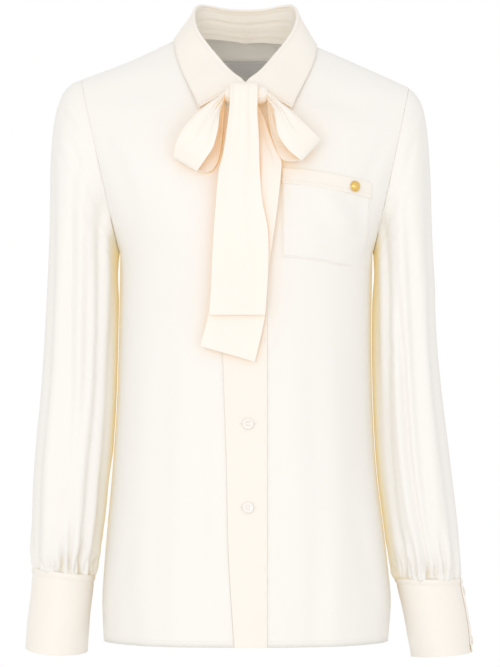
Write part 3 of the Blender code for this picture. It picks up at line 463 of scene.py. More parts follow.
def sheetPiece(name, grid, material, wall, closed=False, edge=0.0):
    # a cloth piece: one grid, or a list whose first one is the cut that is stated, thickened evenly,
    # with softened edges where it is doubled
    grids = grid if isinstance(grid, list) else [grid]
    made = meshObject(name, *joinGrids(grids, closed), material)
    solid = made.modifiers.new("wall", "SOLIDIFY")
    solid.thickness, solid.offset = wall, 0
    solid.use_even_offset = False
    if edge:
        bevel = made.modifiers.new("edge", "BEVEL")
        bevel.width, bevel.segments, bevel.limit_method = edge, 2, "ANGLE"
        bevel.angle_limit = math.radians(60)
    dress(made, name)
    width, length = gridSpan(grids[0], closed)
    area = gridArea(grids[0], closed)
    cuts[name] = (round(width, 3), round(length, 3), round(area, 4))


cuts = {}
stitchSize = {"length": 0.0024, "gap": 0.0009, "width": 0.00045, "height": 0.00022, "look": 0.0005}
# One stitch: shares of its length, width and height, and the triangles between its eight points
stitchShape = np.array([
    (-0.5, 0.0, -0.2), (0.5, 0.0, -0.2), (-0.32, 0.5, 0.2), (0.32, 0.5, 0.2),
    (-0.32, -0.5, 0.2), (0.32, -0.5, 0.2), (-0.3, 0.0, 1.0), (0.3, 0.0, 1.0),
])
stitchFaces = np.array([
    (0, 2, 6), (0, 6, 4), (1, 7, 3), (1, 5, 7), (2, 3, 7), (2, 7, 6),
    (4, 6, 7), (4, 7, 5), (0, 4, 5), (0, 5, 1), (0, 1, 3), (0, 3, 2),
])


def stitchRow(path, normals):
    # small six-sided capsules laid end to end along a path, each half sunk in the cloth
    s = stitchSize
    steps = np.linalg.norm(np.diff(path, axis=0), axis=1)
    run = np.concatenate([[0], np.cumsum(steps)])
    count = max(int(run[-1] / (s["length"] + s["gap"])), 1)
    middle = (np.arange(count) + 0.5) * run[-1] / count

    # a list of points at given lengths along the path
    def pointsAt(where, values):
        return np.stack([np.interp(where, run, values[:, i]) for i in range(3)], axis=-1)

    at = pointsAt(middle, path)
    forward = unit(pointsAt(middle + s["look"], path) - pointsAt(middle - s["look"], path))
    up = unit(pointsAt(middle, normals))
    side = np.cross(forward, up)
    offset = (
        stitchShape[None, :, 0, None] * s["length"] * forward[:, None]
        + stitchShape[None, :, 1, None] * s["width"] * side[:, None]
        + stitchShape[None, :, 2, None] * s["height"] * up[:, None]
    )
    return (at[:, None] + offset).reshape(-1, 3), count


def stitches(name, rows):
    # all the stitch rows of one piece, as one object
    points, faces, start = [], [], 0
    for path, normals in rows:
        made, count = stitchRow(path, normals)
        first = start + len(stitchShape) * np.arange(count)
        points.append(made)
        faces.append((stitchFaces[None] + first[:, None, None]).reshape(-1, 3))
        start += len(made)
    dress(meshObject(name, np.concatenate(points), np.concatenate(faces), trims["thread"]))


def gridNormals(points):
    # cross product of the steps along the rows and the columns
    normal = np.cross(np.gradient(points, axis=1), np.gradient(points, axis=0))
    length = np.linalg.norm(normal, axis=-1, keepdims=True)
    return normal / np.maximum(length, 1e-12)


# Fronts and back

# hemRow is the height of one whole row of the torso below the arms, in which the hem is measured
panel = {
    "wall": 0.0007, "frontColumns": 62, "backColumns": 60,
    "hemTurn": 0.008, "hemStitch": 0.0070, "hemIn": -0.0009, "hemRow": 0.44,
}
placketLeft = table("z x", [
    (-0.678, -0.0120), (-0.580, -0.0183), (-0.456, -0.0212), (-0.360, -0.0247), (-0.060, -0.0250),
])
placketSeam, frontSeamGap = 0.003, 0.0008


def panelX(row, inner, right, columns):
    # even turns of a quarter circle from the inner edge to the side, so columns close up at the side
    power = torsoSize["columnPower"]
    edge = torsoRow(row, right)[0]
    start = np.sign(inner) * np.arcsin(np.minimum(np.abs(inner) / edge, 1) ** power)
    turns = start[:, None] + (math.pi / 2 - start)[:, None] * np.linspace(0, 1, columns)
    x = np.sign(turns) * edge[:, None] * np.abs(np.sin(turns)) ** (1 / power)
    return -x if right else x


def relax(grid, weight, passes=60):
    # each pass moves a point part of the way to the middle of its neighbours up and down its column
    for _ in range(passes):
        middle = (grid[2:] + grid[:-2]) / 2
        grid[1:-1] += 0.5 * weight[1:-1, :, None] * (middle - grid[1:-1])
    return grid


def belowArm(x, row):
    # where the shelf under the armhole is relaxed: near row 0, away from the seams
    level = np.where(row <= 1, row, 2 - row)
    t = np.abs(x) / torsoRow(row, x < 0)[0]
    here = softStep(level, -0.30, -0.10) * (1 - softStep(level, 0.30, 0.50))
    return here * softStep(t, 0.40, 0.65) * (1 - softStep(t, 0.975, 1.0))


def frontRows():
    # even rows to the pit of the neck, then closer ones up to the shoulder
    pit = torsoSize["frontPit"]
    low, middle = np.linspace(-1, 0, 60, endpoint=False), np.linspace(0, pit, 46)
    return np.concatenate([low, middle, pit + (1 - pit) * np.linspace(0, 1, 26)[1:] ** 1.5])


def backRows():
    # from just past the shoulder over the pit of the neck to the hem
    pit = 1 - torsoSize["backPit"]
    top = 1 + 1e-6 + pit * np.linspace(0, 1, 18) ** 0.8
    return np.concatenate([top, np.linspace(1 + pit, 2, 48)[1:], np.linspace(2, 3, 60)[1:]])


def makeFronts():
    # each front runs from the placket's seam, or from the neck edge above it, to the side seam
    turn, stitch = panel["hemTurn"] / panel["hemRow"], panel["hemStitch"] / panel["hemRow"]
    for name, right in (("front_right", True), ("front_left", False)):
        row = frontRows()
        z = torso(np.zeros(row.shape), row)[:, 2]
        seam = -along(z, placketLeft, "x", "z") - placketSeam
        reach = neckReach(row)
        atNeck = np.maximum(seam, reach) if right else reach
        inner = np.where(row > torsoSize["frontPit"], atNeck, seam if right else frontSeamGap - seam)
        x = panelX(row, inner, right, panel["frontColumns"])
        grid = relax(skin(x, row[:, None]), belowArm(x, row[:, None]))
        hem = skin(x[:3], np.linspace(-1, -1 + turn, 3)[:, None], panel["hemIn"])
        sheetPiece(name, [grid, hem], cloth["silkCrepeWoven"], panel["wall"])
        path = skin(x[0], np.full(x.shape[1], -1 + stitch), panel["wall"] / 2)
        stitches(name + "_stitches", [(path, outward(x[0], np.full(x.shape[1], -0.98)))])


def makeBack():
    # one grid from side to side below the neck, and a wing on each side of the neck, welded to it
    row = backRows()
    reach = neckReach(row)
    left = panelX(row, reach, False, panel["backColumns"])
    right = panelX(row, reach, True, panel["backColumns"])
    first = int(np.argmax(reach <= 1e-9))
    x = np.concatenate([right[first:, ::-1], left[first:, 1:]], axis=1)
    middle = relax(skin(x, row[first:, None]), belowArm(x, row[first:, None]))
    upper = row[: first + 1, None]
    grids = [middle, skin(right[: first + 1, ::-1], upper), skin(left[: first + 1], upper)]
    turn, stitch = panel["hemTurn"] / panel["hemRow"], panel["hemStitch"] / panel["hemRow"]
    hem = skin(x[-3:], np.linspace(3 - turn, 3, 3)[:, None], panel["hemIn"])
    made = meshObject("back", *joinGrids([*grids, hem]), cloth["silkCrepeWoven"])
    weld = made.modifiers.new("join", "WELD")
    weld.merge_threshold = 0.00002
    solid = made.modifiers.new("wall", "SOLIDIFY")
    solid.thickness, solid.offset = panel["wall"], 0
    dress(made, "back")
    width, length = gridSpan(middle)[0], gridSpan(middle)[1] + gridSpan(grids[1])[1]
    area = sum(gridArea(grid) for grid in grids)
    cuts["back"] = (round(width, 3), round(length, 3), round(area, 4))
    path = skin(x[-1], np.full(x.shape[1], 3 - stitch), panel["wall"] / 2)
    stitches("back_stitches", [(path, outward(x[-1], np.full(x.shape[1], 2.98)))])


makeFronts()
makeBack()
print("fronts and back made")


# Placket and pocket

# how far the top stitching stands off a doubled face
stitchLift = 0.0002
placket = {"wall": 0.0013, "out": 0.0014, "edgeX": 0.0242, "topRow": 0.700, "stitchIn": 0.0016}
pocket = {
    "leftX": 0.0410, "topRightX": 0.1420, "lowRightX": 0.1355,
    "topZ": -0.1405, "lowZ": -0.2400, "slope": 0.0150,
    "band": 0.0175, "bandWall": 0.0018, "wall": 0.0008, "out": 0.0010, "stitchIn": 0.0018,
}


def makePlacket():
    # a band on the front between its slanting left edge and its straight right edge
    p = placket
    row = np.linspace(-1, p["topRow"], 150)
    z = torso(np.zeros(row.shape), row)[:, 2]
    left = along(z, placketLeft, "x", "z")
    t = np.linspace(0, 1, 18)
    x = left[:, None] + (p["edgeX"] - left)[:, None] * t
    # the rolled edges stand a little proud
    roll = 0.0005 * bell(t, 1, 0.10) + 0.0006 * bell(t, 0, 0.09)
    ripple = 0.00025 * np.sin(row[:, None] * 96) * bell(t, 1, 0.35)
    grid = skin(x, row[:, None], p["out"] + roll + ripple)
    sheetPiece("placket", grid, cloth["silkCrepeDoubled"], p["wall"], edge=0.0004)
    rows = []
    inset = p["stitchIn"] * 1.4
    for at in (left + inset, np.full(left.shape, p["edgeX"] - inset)):
        rows.append((skin(at, row, p["out"] + p["wall"] / 2 + stitchLift), outward(at, row)))
    stitches("placket_stitches", rows)


# Creases of the pocket: start and end as shares across and down, bow, width and height
pocketFolds = [(0.46, 0.20, 0.80, 0.62, 0.02, 0.11, 0.0022), (0.66, 0.16, 1.00, 0.40, 0.02, 0.10, -0.0015)]


def pocketPlace(u, drop):
    # straight sides that lean in, a top edge that sags to the armhole, and a low edge parallel to it
    p = pocket
    right = p["topRightX"] + (p["lowRightX"] - p["topRightX"]) * drop
    x = p["leftX"] + (right - p["leftX"]) * u
    z = p["topZ"] + (p["lowZ"] - p["topZ"]) * drop - p["slope"] * u**1.6
    return x, z


def pocketBulge(u, drop):
    # a shallow belly of two half sines, and the slanting sag below the band that the picture shows
    belly = 0.0012 * np.sin(math.pi * np.clip(u, 0, 1)) * np.sin(math.pi * np.clip(drop, 0, 1))
    return belly + creaseHeight(u, drop, pocketFolds)


def makePocket():
    # the bag starts a little under the band, and both lie on the front, moved out by their own amount
    p = pocket
    share = p["band"] / (p["topZ"] - p["lowZ"])
    u = np.linspace(0, 1, 60)
    for name, high, low, count in (("pocket", share - 0.03, 1.0, 54), ("pocket_band", 0.0, share, 14)):
        doubled = name == "pocket_band"
        drop = np.linspace(high, low, count)[:, None]
        x, z = pocketPlace(u[None], drop)
        edge = np.minimum(np.minimum(u, 1 - u)[None] * 0.1, (low - drop) * 0.1) / 0.0012
        out = p["out"] + pocketBulge(u[None], drop) * (not doubled) * softStep(edge, 0, 4)
        if doubled:
            inBand = (drop - high) / (low - high)
            out = out + 0.0006 + 0.0005 * bell(inBand, 1, 0.16)
            out = out - 0.0004 * bell(inBand, 0.78, 0.06) + 0.0004 * bell(inBand, 0, 0.14)
        corner = softStep(u[None], 0.5, 0.8) * (1 - softStep(z, -0.232, -0.215))
        grid = relax(skin(x, rowAt(x, z), out), corner * np.ones_like(z), 40)
        made = "silkCrepeDoubled" if doubled else "silkCrepeWoven"
        wall = p["bandWall"] if doubled else p["wall"]
        sheetPiece(name, grid, cloth[made], wall, edge=0.0003)
    inset = p["stitchIn"] / 0.1
    down = np.linspace(share, 1 - inset, 40)
    over = np.linspace(inset, 1 - inset, 60)
    lines = [(np.full(40, inset), down), (np.full(40, 1 - inset), down), (over, np.full(60, 1 - inset))]
    lines += [(over, np.full(60, share - 0.014)), (over, np.full(60, share - 0.048))]
    rows = []
    for i, (at, drop) in enumerate(lines):
        x, z = pocketPlace(at, drop)
        row = rowAt(x, z)
        lift = p["wall"] / 2 + stitchLift if i < 3 else p["bandWall"] / 2 + 2 * stitchLift
        rows.append((skin(x, row, p["out"] + lift), outward(x, row)))
    stitches("pocket_stitches", rows)


makePlacket()
makePocket()
print("placket and pocket made")


# Sleeves

sleeveRows = {
    "right": table("outerX outerZ innerX innerZ y front back", [
        (0.1886, -0.0350, 0.1451, -0.2340, 0.000, 0.0580, 0.0550),
        (0.1985, -0.0390, 0.1453, -0.2365, 0.000, 0.0588, 0.0558),
        (0.2085, -0.0490, 0.1456, -0.2390, 0.000, 0.0598, 0.0570),
        (0.2150, -0.0640, 0.1459, -0.2420, 0.000, 0.0606, 0.0580),
        (0.2197, -0.0840, 0.1462, -0.2455, -0.001, 0.0612, 0.0590),
        (0.2222, -0.1080, 0.1465, -0.2495, -0.001, 0.0616, 0.0596),
        (0.2238, -0.1380, 0.1468, -0.2545, -0.002, 0.0620, 0.0600),
        (0.2243, -0.1750, 0.1472, -0.2615, -0.002, 0.0620, 0.0602),
        (0.2250, -0.2150, 0.1477, -0.2710, -0.003, 0.0618, 0.0602),
        (0.2266, -0.2560, 0.1483, -0.2860, -0.003, 0.0615, 0.0600),
        (0.2290, -0.3030, 0.1490, -0.3120, -0.004, 0.0610, 0.0596),
        (0.2317, -0.3520, 0.1497, -0.3520, -0.004, 0.0602, 0.0590),
        (0.2355, -0.4030, 0.1511, -0.4030, -0.005, 0.0592, 0.0582),
        (0.2398, -0.4480, 0.1545, -0.4480, -0.006, 0.0580, 0.0572),
        (0.2430, -0.4900, 0.1582, -0.4900, -0.008, 0.0560, 0.0552),
        (0.2443, -0.5280, 0.1620, -0.5290, -0.009, 0.0530, 0.0526),
        (0.2450, -0.5500, 0.1652, -0.5520, -0.010, 0.0505, 0.0500),
        (0.2456, -0.5680, 0.1684, -0.5720, -0.010, 0.0475, 0.0470),
        (0.2456, -0.5830, 0.1716, -0.5890, -0.010, 0.0430, 0.0426),
        (0.2445, -0.5938, 0.1739, -0.6023, -0.010, 0.0376, 0.0376),
    ]),
    "left": table("outerX outerZ innerX innerZ y front back", [
        (0.1877, -0.0443, 0.1471, -0.2340, 0.000, 0.0580, 0.0550),
        (0.1955, -0.0515, 0.1473, -0.2362, 0.000, 0.0586, 0.0556),
        (0.2025, -0.0640, 0.1475, -0.2385, 0.000, 0.0592, 0.0564),
        (0.2068, -0.0820, 0.1477, -0.2415, 0.000, 0.0598, 0.0574),
        (0.2095, -0.1040, 0.1479, -0.2450, -0.001, 0.0602, 0.0582),
        (0.2113, -0.1290, 0.1481, -0.2495, -0.001, 0.0606, 0.0588),
        (0.2127, -0.1590, 0.1483, -0.2550, -0.002, 0.0608, 0.0592),
        (0.2136, -0.1940, 0.1485, -0.2620, -0.002, 0.0608, 0.0594),
        (0.2150, -0.2320, 0.1487, -0.2720, -0.003, 0.0606, 0.0594),
        (0.2172, -0.2680, 0.1488, -0.2870, -0.003, 0.0604, 0.0592),
        (0.2182, -0.3100, 0.1489, -0.3150, -0.004, 0.0600, 0.0590),
        (0.2212, -0.3550, 0.1490, -0.3550, -0.004, 0.0594, 0.0584),
        (0.2262, -0.4030, 0.1494, -0.4030, -0.005, 0.0585, 0.0576),
        (0.2318, -0.4480, 0.1518, -0.4480, -0.006, 0.0572, 0.0566),
        (0.2372, -0.4940, 0.1556, -0.4940, -0.008, 0.0555, 0.0550),
        (0.2418, -0.5330, 0.1602, -0.5330, -0.009, 0.0528, 0.0524),
        (0.2443, -0.5570, 0.1642, -0.5560, -0.010, 0.0500, 0.0498),
        (0.2460, -0.5760, 0.1672, -0.5750, -0.010, 0.0470, 0.0468),
        (0.2467, -0.5930, 0.1700, -0.5920, -0.010, 0.0425, 0.0424),
        (0.2463, -0.6063, 0.1723, -0.6058, -0.010, 0.0376, 0.0376),
    ]),
}
cuffRows = {
    "right": table("outerX outerZ innerX innerZ y front back", [
        (0.2444, -0.5945, 0.1740, -0.6030, -0.010, 0.0366, 0.0366),
        (0.2466, -0.6290, 0.1776, -0.6380, -0.011, 0.0362, 0.0362),
        (0.2506, -0.6600, 0.1804, -0.6680, -0.012, 0.0364, 0.0364),
        (0.2530, -0.6860, 0.1826, -0.6900, -0.013, 0.0368, 0.0368),
    ]),
    "left": table("outerX outerZ innerX innerZ y front back", [
        (0.2463, -0.6070, 0.1724, -0.6065, -0.010, 0.0366, 0.0366),
        (0.2518, -0.6380, 0.1790, -0.6360, -0.011, 0.0362, 0.0362),
        (0.2568, -0.6660, 0.1850, -0.6660, -0.012, 0.0364, 0.0364),
        (0.2592, -0.6915, 0.1914, -0.6960, -0.013, 0.0368, 0.0368),
    ]),
}

# Long folds of each sleeve: degrees round from the outer side to the front at the top and the bottom,
# top and bottom height, width in degrees, and height (below 0 for a hollow)
sleeveFolds = {
    "right": [
        (118, 128, -0.10, -0.595, 9, -0.0034), (100, 104, -0.22, -0.590, 8, -0.0018),
        (72, 88, -0.14, -0.600, 9, -0.0021), (50, 58, -0.20, -0.560, 10, 0.0016),
        (30, 40, -0.16, -0.590, 9, -0.0015), (146, 150, -0.26, -0.590, 10, -0.0030),
        (212, 222, -0.20, -0.590, 12, -0.0028), (262, 256, -0.24, -0.590, 11, -0.0026),
        (318, 310, -0.18, -0.580, 12, -0.0022),
    ],
    "left": [
        (128, 136, -0.10, -0.600, 9, -0.0030), (104, 94, -0.30, -0.606, 7, -0.0040),
        (84, 76, -0.16, -0.600, 9, -0.0018), (58, 62, -0.20, -0.580, 10, 0.0014),
        (36, 38, -0.18, -0.600, 9, -0.0015), (152, 154, -0.24, -0.600, 10, -0.0030),
        (214, 220, -0.20, -0.600, 12, -0.0028), (264, 258, -0.24, -0.600, 11, -0.0026),
        (316, 312, -0.18, -0.590, 12, -0.0022),
    ],
}
# Short creases across the sleeve heads and at the elbow bend: arc length and height at both ends
headCreases = [
    (0.026, -0.070, 0.062, -0.092, 0.002, 0.0042, -0.0022),
    (0.052, -0.100, 0.086, -0.150, 0.003, 0.0060, -0.0014),
    (0.018, -0.100, 0.050, -0.140, -0.003, 0.0060, 0.0010),
    (0.100, -0.330, 0.140, -0.352, 0.002, 0.0060, -0.0011),
    (0.092, -0.365, 0.128, -0.372, -0.002, 0.0055, 0.0009),
    (0.215, -0.340, 0.260, -0.360, 0.003, 0.0070, -0.0012),
    (0.300, -0.090, 0.330, -0.130, 0.003, 0.0060, -0.0010),
    (0.060, -0.230, 0.082, -0.300, 0.003, 0.0070, 0.0008),
]
# Gathers into the cuff: degrees round, depth, width in degrees and length up the sleeve. The front ones
# are placed from the picture, the hidden ones are drawn at random with a fixed seed.
gathersSeen = {
    "right": [
        (38, 0.0016, 2.6, 0.014), (47, 0.0022, 2.4, 0.016), (57, 0.0022, 2.4, 0.015),
        (67, 0.0024, 2.4, 0.017), (76, 0.0020, 2.4, 0.016), (88, 0.0034, 3.0, 0.042),
        (97, 0.0014, 2.6, 0.014), (105, 0.0036, 3.4, 0.070), (116, 0.0028, 2.8, 0.034),
        (127, 0.0034, 3.2, 0.060), (138, 0.0022, 3.0, 0.030), (148, 0.0028, 3.0, 0.040),
    ],
    "left": [
        (30, 0.0024, 2.8, 0.036), (42, 0.0018, 2.6, 0.014), (50, 0.0022, 2.4, 0.016),
        (60, 0.0036, 3.2, 0.070), (69, 0.0020, 2.4, 0.014), (77, 0.0032, 3.0, 0.028),
        (85, 0.0020, 2.4, 0.014), (93, 0.0032, 3.0, 0.026), (102, 0.0020, 2.6, 0.020),
        (112, 0.0030, 3.0, 0.050), (124, 0.0026, 3.0, 0.030), (137, 0.0030, 3.2, 0.055),
        (149, 0.0024, 3.0, 0.034),
    ],
}
sleeve = {
    "wall": 0.0007, "around": 240, "down": 160, "radius": 0.06,
    "foldGain": 1.7, "gatherGain": 1.8, "clear": 0.0016,
}
# How far below the shoulder's level each sleeve stops lying against the body
heldEnds = {"right": (0.455, 0.505), "left": (0.560, 0.615)}


def section(rows, share, angle, push, sign):
    # an oval: cosine of the angle between outer and inner edge, sine of it to the front and the back
    names = ("outerX", "outerZ", "innerX", "innerZ", "y", "front", "back")
    outerX, outerZ, innerX, innerZ, middleY, front, back = (along(share, rows, name) for name in names)
    reachX, reachZ = (outerX - innerX) / 2, (outerZ - innerZ) / 2
    across = (1 + push / np.hypot(reachX, reachZ)) * np.cos(angle)
    depth = np.where(np.sin(angle) > 0, front, back) + push
    x = sign * ((outerX + innerX) / 2 + reachX * across)
    z = (outerZ + innerZ) / 2 + reachZ * across
    return np.stack([x, middleY - depth * np.sin(angle), z], axis=-1)


def turnBetween(angle, centre):
    # shortest turn from a centre to an angle, both in degrees
    return (angle - centre + 180) % 360 - 180


def hiddenGathers(side):
    # centre, depth, width and length of each gather round the back, drawn at random with a fixed seed
    seeded = np.random.default_rng(11 if side == "right" else 12)
    gathers = []
    for centre in np.arange(160, 388, 9.5):
        shift, depth = seeded.uniform(-3, 3), seeded.uniform(0.0018, 0.0034)
        gathers.append((centre + shift, depth, seeded.uniform(2.4, 3.4), seeded.uniform(0.014, 0.06)))
    return gathers


def gatherPush(side, above, degrees):
    # each gather is a bell-shaped cut at the cuff that widens and fades upwards, with a soft ridge beside
    push = np.zeros(np.broadcast(above, degrees).shape)
    for centre, depth, width, length in gathersSeen[side] + hiddenGathers(side):
        swing = 60 * length * np.sin(above / max(length, 0.03) * 1.5)
        away = turnBetween(degrees, centre + swing * (1 if centre % 2 < 1 else -1))
        spread = width * (1 + 1.2 * np.clip(above / length, 0, 1))
        fade = 1 - softStep(above, 0.25 * length, 1.15 * length)
        fade = fade * (0.30 + 0.70 * softStep(above, 0.0, 0.006))
        push -= sleeve["gatherGain"] * depth * fade * bell(away, 0, spread)
        push += 0.35 * sleeve["gatherGain"] * depth * fade * bell(away, -1.9 * spread, spread)
    return push


def sleevePush(side, share, angle):
    # long folds run down as bell-shaped hollows that wander from one angle to another, short creases
    # cross them, and gathers cut in from the cuff and fade upwards
    rows = sleeveRows[side]
    z = (along(share, rows, "outerZ") + along(share, rows, "innerZ")) / 2
    degrees = np.degrees(angle)
    push = np.zeros(np.broadcast(share, angle).shape)
    for top, bottom, high, low, width, height in sleeveFolds[side]:
        t = np.clip((z - high) / (low - high), 0, 1)
        away = turnBetween(degrees, top + (bottom - top) * t + 2.5 * np.sin(t * 7 + top))
        fade = softStep(-z, -high - 0.05, -high + 0.10)
        shape = bell(away, 0, width) - 0.5 * bell(away, 1.8 * width, width)
        push += sleeve["foldGain"] * height * fade * shape
    place = section(rows, share, angle, 0.0, 1.0)
    arc = (angle % (2 * math.pi)) * sleeve["radius"]
    push += creaseHeight(arc, place[..., 2], headCreases) * softStep(share, 0.03, 0.12)
    push += gatherPush(side, z - (rows["outerZ"][-1] + rows["innerZ"][-1]) / 2, degrees)
    # easing at the armhole: tiny puckers along the seam of the sleeve head
    ease = (1 - softStep(share, 0.0, 0.035)) * softStep(np.cos(angle), -0.2, 0.6)
    push += 0.00035 * ease * np.sin(angle * 46)
    # the side that lies against the body is held flat and reaches almost to the body's own side
    held = bell(turnBetween(degrees, 180), 0, 42)
    held = held * softStep(-z, 0.20, 0.28) * (1 - softStep(-z, *heldEnds[side]))
    bodySide = along(z, bodyRows, side, "z")
    fill = np.clip(along(share, rows, "innerX") - bodySide - sleeve["clear"], 0, None)
    seam = 0.0002 * bell(share, 0, 0.012)
    return push * (1 - 0.8 * held) * softStep(share, 0.0, 0.02) + fill * held - seam


def makeSleeves():
    # one closed grid each, with a ring tucked into the armhole and one tucked into the cuff
    s = sleeve
    for side, sign in (("right", -1), ("left", 1)):
        rows = sleeveRows[side]
        share = np.linspace(0, 1, s["down"])[:, None] ** 0.92
        angle = np.linspace(0, 2 * math.pi, s["around"], endpoint=False)[None]
        if sign > 0:
            angle = angle[:, ::-1]
        grid = section(rows, share, angle, sleevePush(side, share, angle), sign)
        tuck = section(rows, share[:1], angle, -0.0010, sign) - np.array([sign * 0.0022, 0, 0])
        under = section(rows, share[-1:], angle, -0.0032, sign) - np.array([0, 0, 0.006])
        grid = np.concatenate([tuck, grid, under])
        made = cloth["silkCrepeWoven"]
        name, end = "sleeve_" + side, "cuff_" + side
        sheetPiece(name, grid, made, s["wall"], closed=True)


cuff = {
    "wall": 0.0013, "around": 150, "down": 70, "lap": math.radians(54), "lapGap": 0.0017,
    "corner": 0.009, "radius": 0.0368, "buttonBack": math.radians(34),
    "end": {"right": math.radians(-35), "left": math.radians(14)},
    "droop": {"right": 0.0045, "left": 0.0},
}


def cuffTurn(side, part):
    # from the top layer's end round to the end of the layer beneath
    return cuff["end"][side] - part * (2 * math.pi + cuff["lap"])


def cuffPush(part):
    # the lap's top layer lies out and the one beneath lies in
    return cuff["lapGap"] * (0.5 - softStep(part, 0.10, 0.85))


def makeCuffs():
    # a strip that laps over its own start, with a rolled top seam and a rounded corner at the lap
    c = cuff
    for side, sign in (("right", -1), ("left", 1)):
        part = np.linspace(0, 1, c["around"])[None]
        share = np.linspace(0, 1, c["down"])[:, None]
        angle = cuffTurn(side, part)
        roll = 0.0011 * bell(share, 0.030, 0.026) - 0.0006 * bell(share, 0.078, 0.014)
        roll = roll + 0.0004 * bell(share, 0.985, 0.02)
        dent = 0.0006 * np.sin(angle * 3 + share * 4) * softStep(share, 0.1, 0.5)
        grid = section(cuffRows[side], share, angle, cuffPush(part) + roll + dent, sign)
        grid[..., 2] -= c["droop"][side] * np.abs(np.sin(angle)) * softStep(share, 0.66, 1.0)
        turn = part * (2 * math.pi + c["lap"]) * c["radius"]
        inCorner = np.clip(c["corner"] - turn, 0, c["corner"])
        rise = c["corner"] - np.sqrt(c["corner"] ** 2 - inCorner**2)
        grid[..., 2] += rise * softStep(share, 0.86, 1.0)
        if sign < 0:
            grid = grid[:, ::-1]
        made, slot = cloth["silkCrepeDoubled"], "ivory_crepe_double"
        sheetPiece("cuff_" + side, grid, made, c["wall"], edge=0.0004)


makeSleeves()
makeCuffs()
print("sleeves and cuffs made")


# Buttons and stud

button = {
    "radius": 0.0063, "height": 0.0025, "holeAt": 0.0015, "holeSize": 0.00055, "holeDeep": 0.0011,
    "x": 0.003, "topZ": -0.1453, "spacing": 0.0940, "under": 0.0030, "underCuff": 0.0011,
}
hole = {"halfLong": 0.0090, "halfHigh": 0.0013, "thick": 0.0006, "around": 72, "sides": 8}
stud = {"x": 0.1225, "z": -0.1600, "radius": 0.0062, "height": 0.0035, "foot": 0.0006, "under": 0.0034}
disc = {"rings": 34, "around": 40}


def frameAt(out):
    # two directions across an outward one, the first as level as it can be
    side = np.cross(np.array([0.0, 0.0, 1.0]), out)
    side /= np.linalg.norm(side)
    return side, np.cross(out, side)


def discObject(name, profile, dips, place, out, material, node):
    # a profile of radius and height turned round its axis, with bell-shaped dips for the holes
    radius, height = np.array(profile).T
    even = np.linspace(0, 1, disc["rings"])
    steps = np.interp(even, np.linspace(0, 1, len(radius)), radius)[:, None]
    tall = np.interp(even, np.linspace(0, 1, len(height)), height)[:, None]
    angle = np.linspace(0, 2 * math.pi, disc["around"], endpoint=False)
    a, b = steps * np.cos(angle), steps * np.sin(angle)
    up = np.repeat(tall, disc["around"], axis=1)
    for da, db in dips:
        onFace = tall > 0.0012
        away = ((a - da) ** 2 + (b - db) ** 2) / button["holeSize"] ** 2
        up = up - button["holeDeep"] * onFace * bell(away, 0, 1)
    side, upward = frameAt(out)
    points = place + a[..., None] * side + b[..., None] * upward + up[..., None] * out
    faces = gridFaces(disc["rings"], disc["around"], True)
    dress(meshObject(name, points.reshape(-1, 3), faces, material), node)


def buttonAt(number, name, place, out):
    # a rimmed disc with four holes, and two short threads across them
    r, h = button["radius"], button["height"]
    profile = [
        (0.00001, h * 0.66), (r * 0.30, h * 0.66), (r * 0.52, h * 0.70), (r * 0.66, h * 0.98),
        (r * 0.80, h), (r * 0.93, h * 0.86), (r, h * 0.5), (r * 0.93, h * 0.1),
        (r * 0.6, 0.0), (0.00001, 0.0),
    ]
    d = button["holeAt"]
    dips = [(d, d), (-d, d), (d, -d), (-d, -d)]
    discObject("buttonPearl" + number, profile, dips, place, out, trims["pearl"], name)
    side, upward = frameAt(out)
    lines = []
    for sign in (-1, 1):
        across = place + out * h * 0.74 + upward * d * sign
        lines.append((across + side * np.linspace(-d, d, 6)[:, None], np.repeat(out[None], 6, axis=0)))
    stitches("buttonThread" + number, lines)


def buttonhole(number, place, out):
    # a bound slit: an oval tube of satin stitches round a dark slot, longer than the button is wide
    side, upward = frameAt(out)
    rings, sides = hole["around"], hole["sides"]
    t = np.linspace(0, 2 * math.pi, rings, endpoint=False)
    around = np.linspace(0, 2 * math.pi, sides, endpoint=False)[None, :, None]
    level, rise = np.cos(t)[:, None], np.sin(t)[:, None]
    centre = place + hole["halfLong"] * level * side + hole["halfHigh"] * rise * upward
    away = level * side + rise * upward
    ripple = hole["thick"] * (1 + 0.18 * np.cos(t * 36))[:, None, None]
    ring = centre[:, None] + ripple * (np.cos(around) * away[:, None] + 0.5 * np.sin(around) * out)
    r = np.arange(sides)
    last = (rings - 1) * sides
    closing = np.stack([last + r, last + (r + 1) % sides, (r + 1) % sides, r], axis=-1)
    faces = np.concatenate([gridFaces(rings, sides, True), closing])
    made = meshObject("buttonhole" + number, ring.reshape(-1, 3), faces, trims["thread"])
    dress(made)


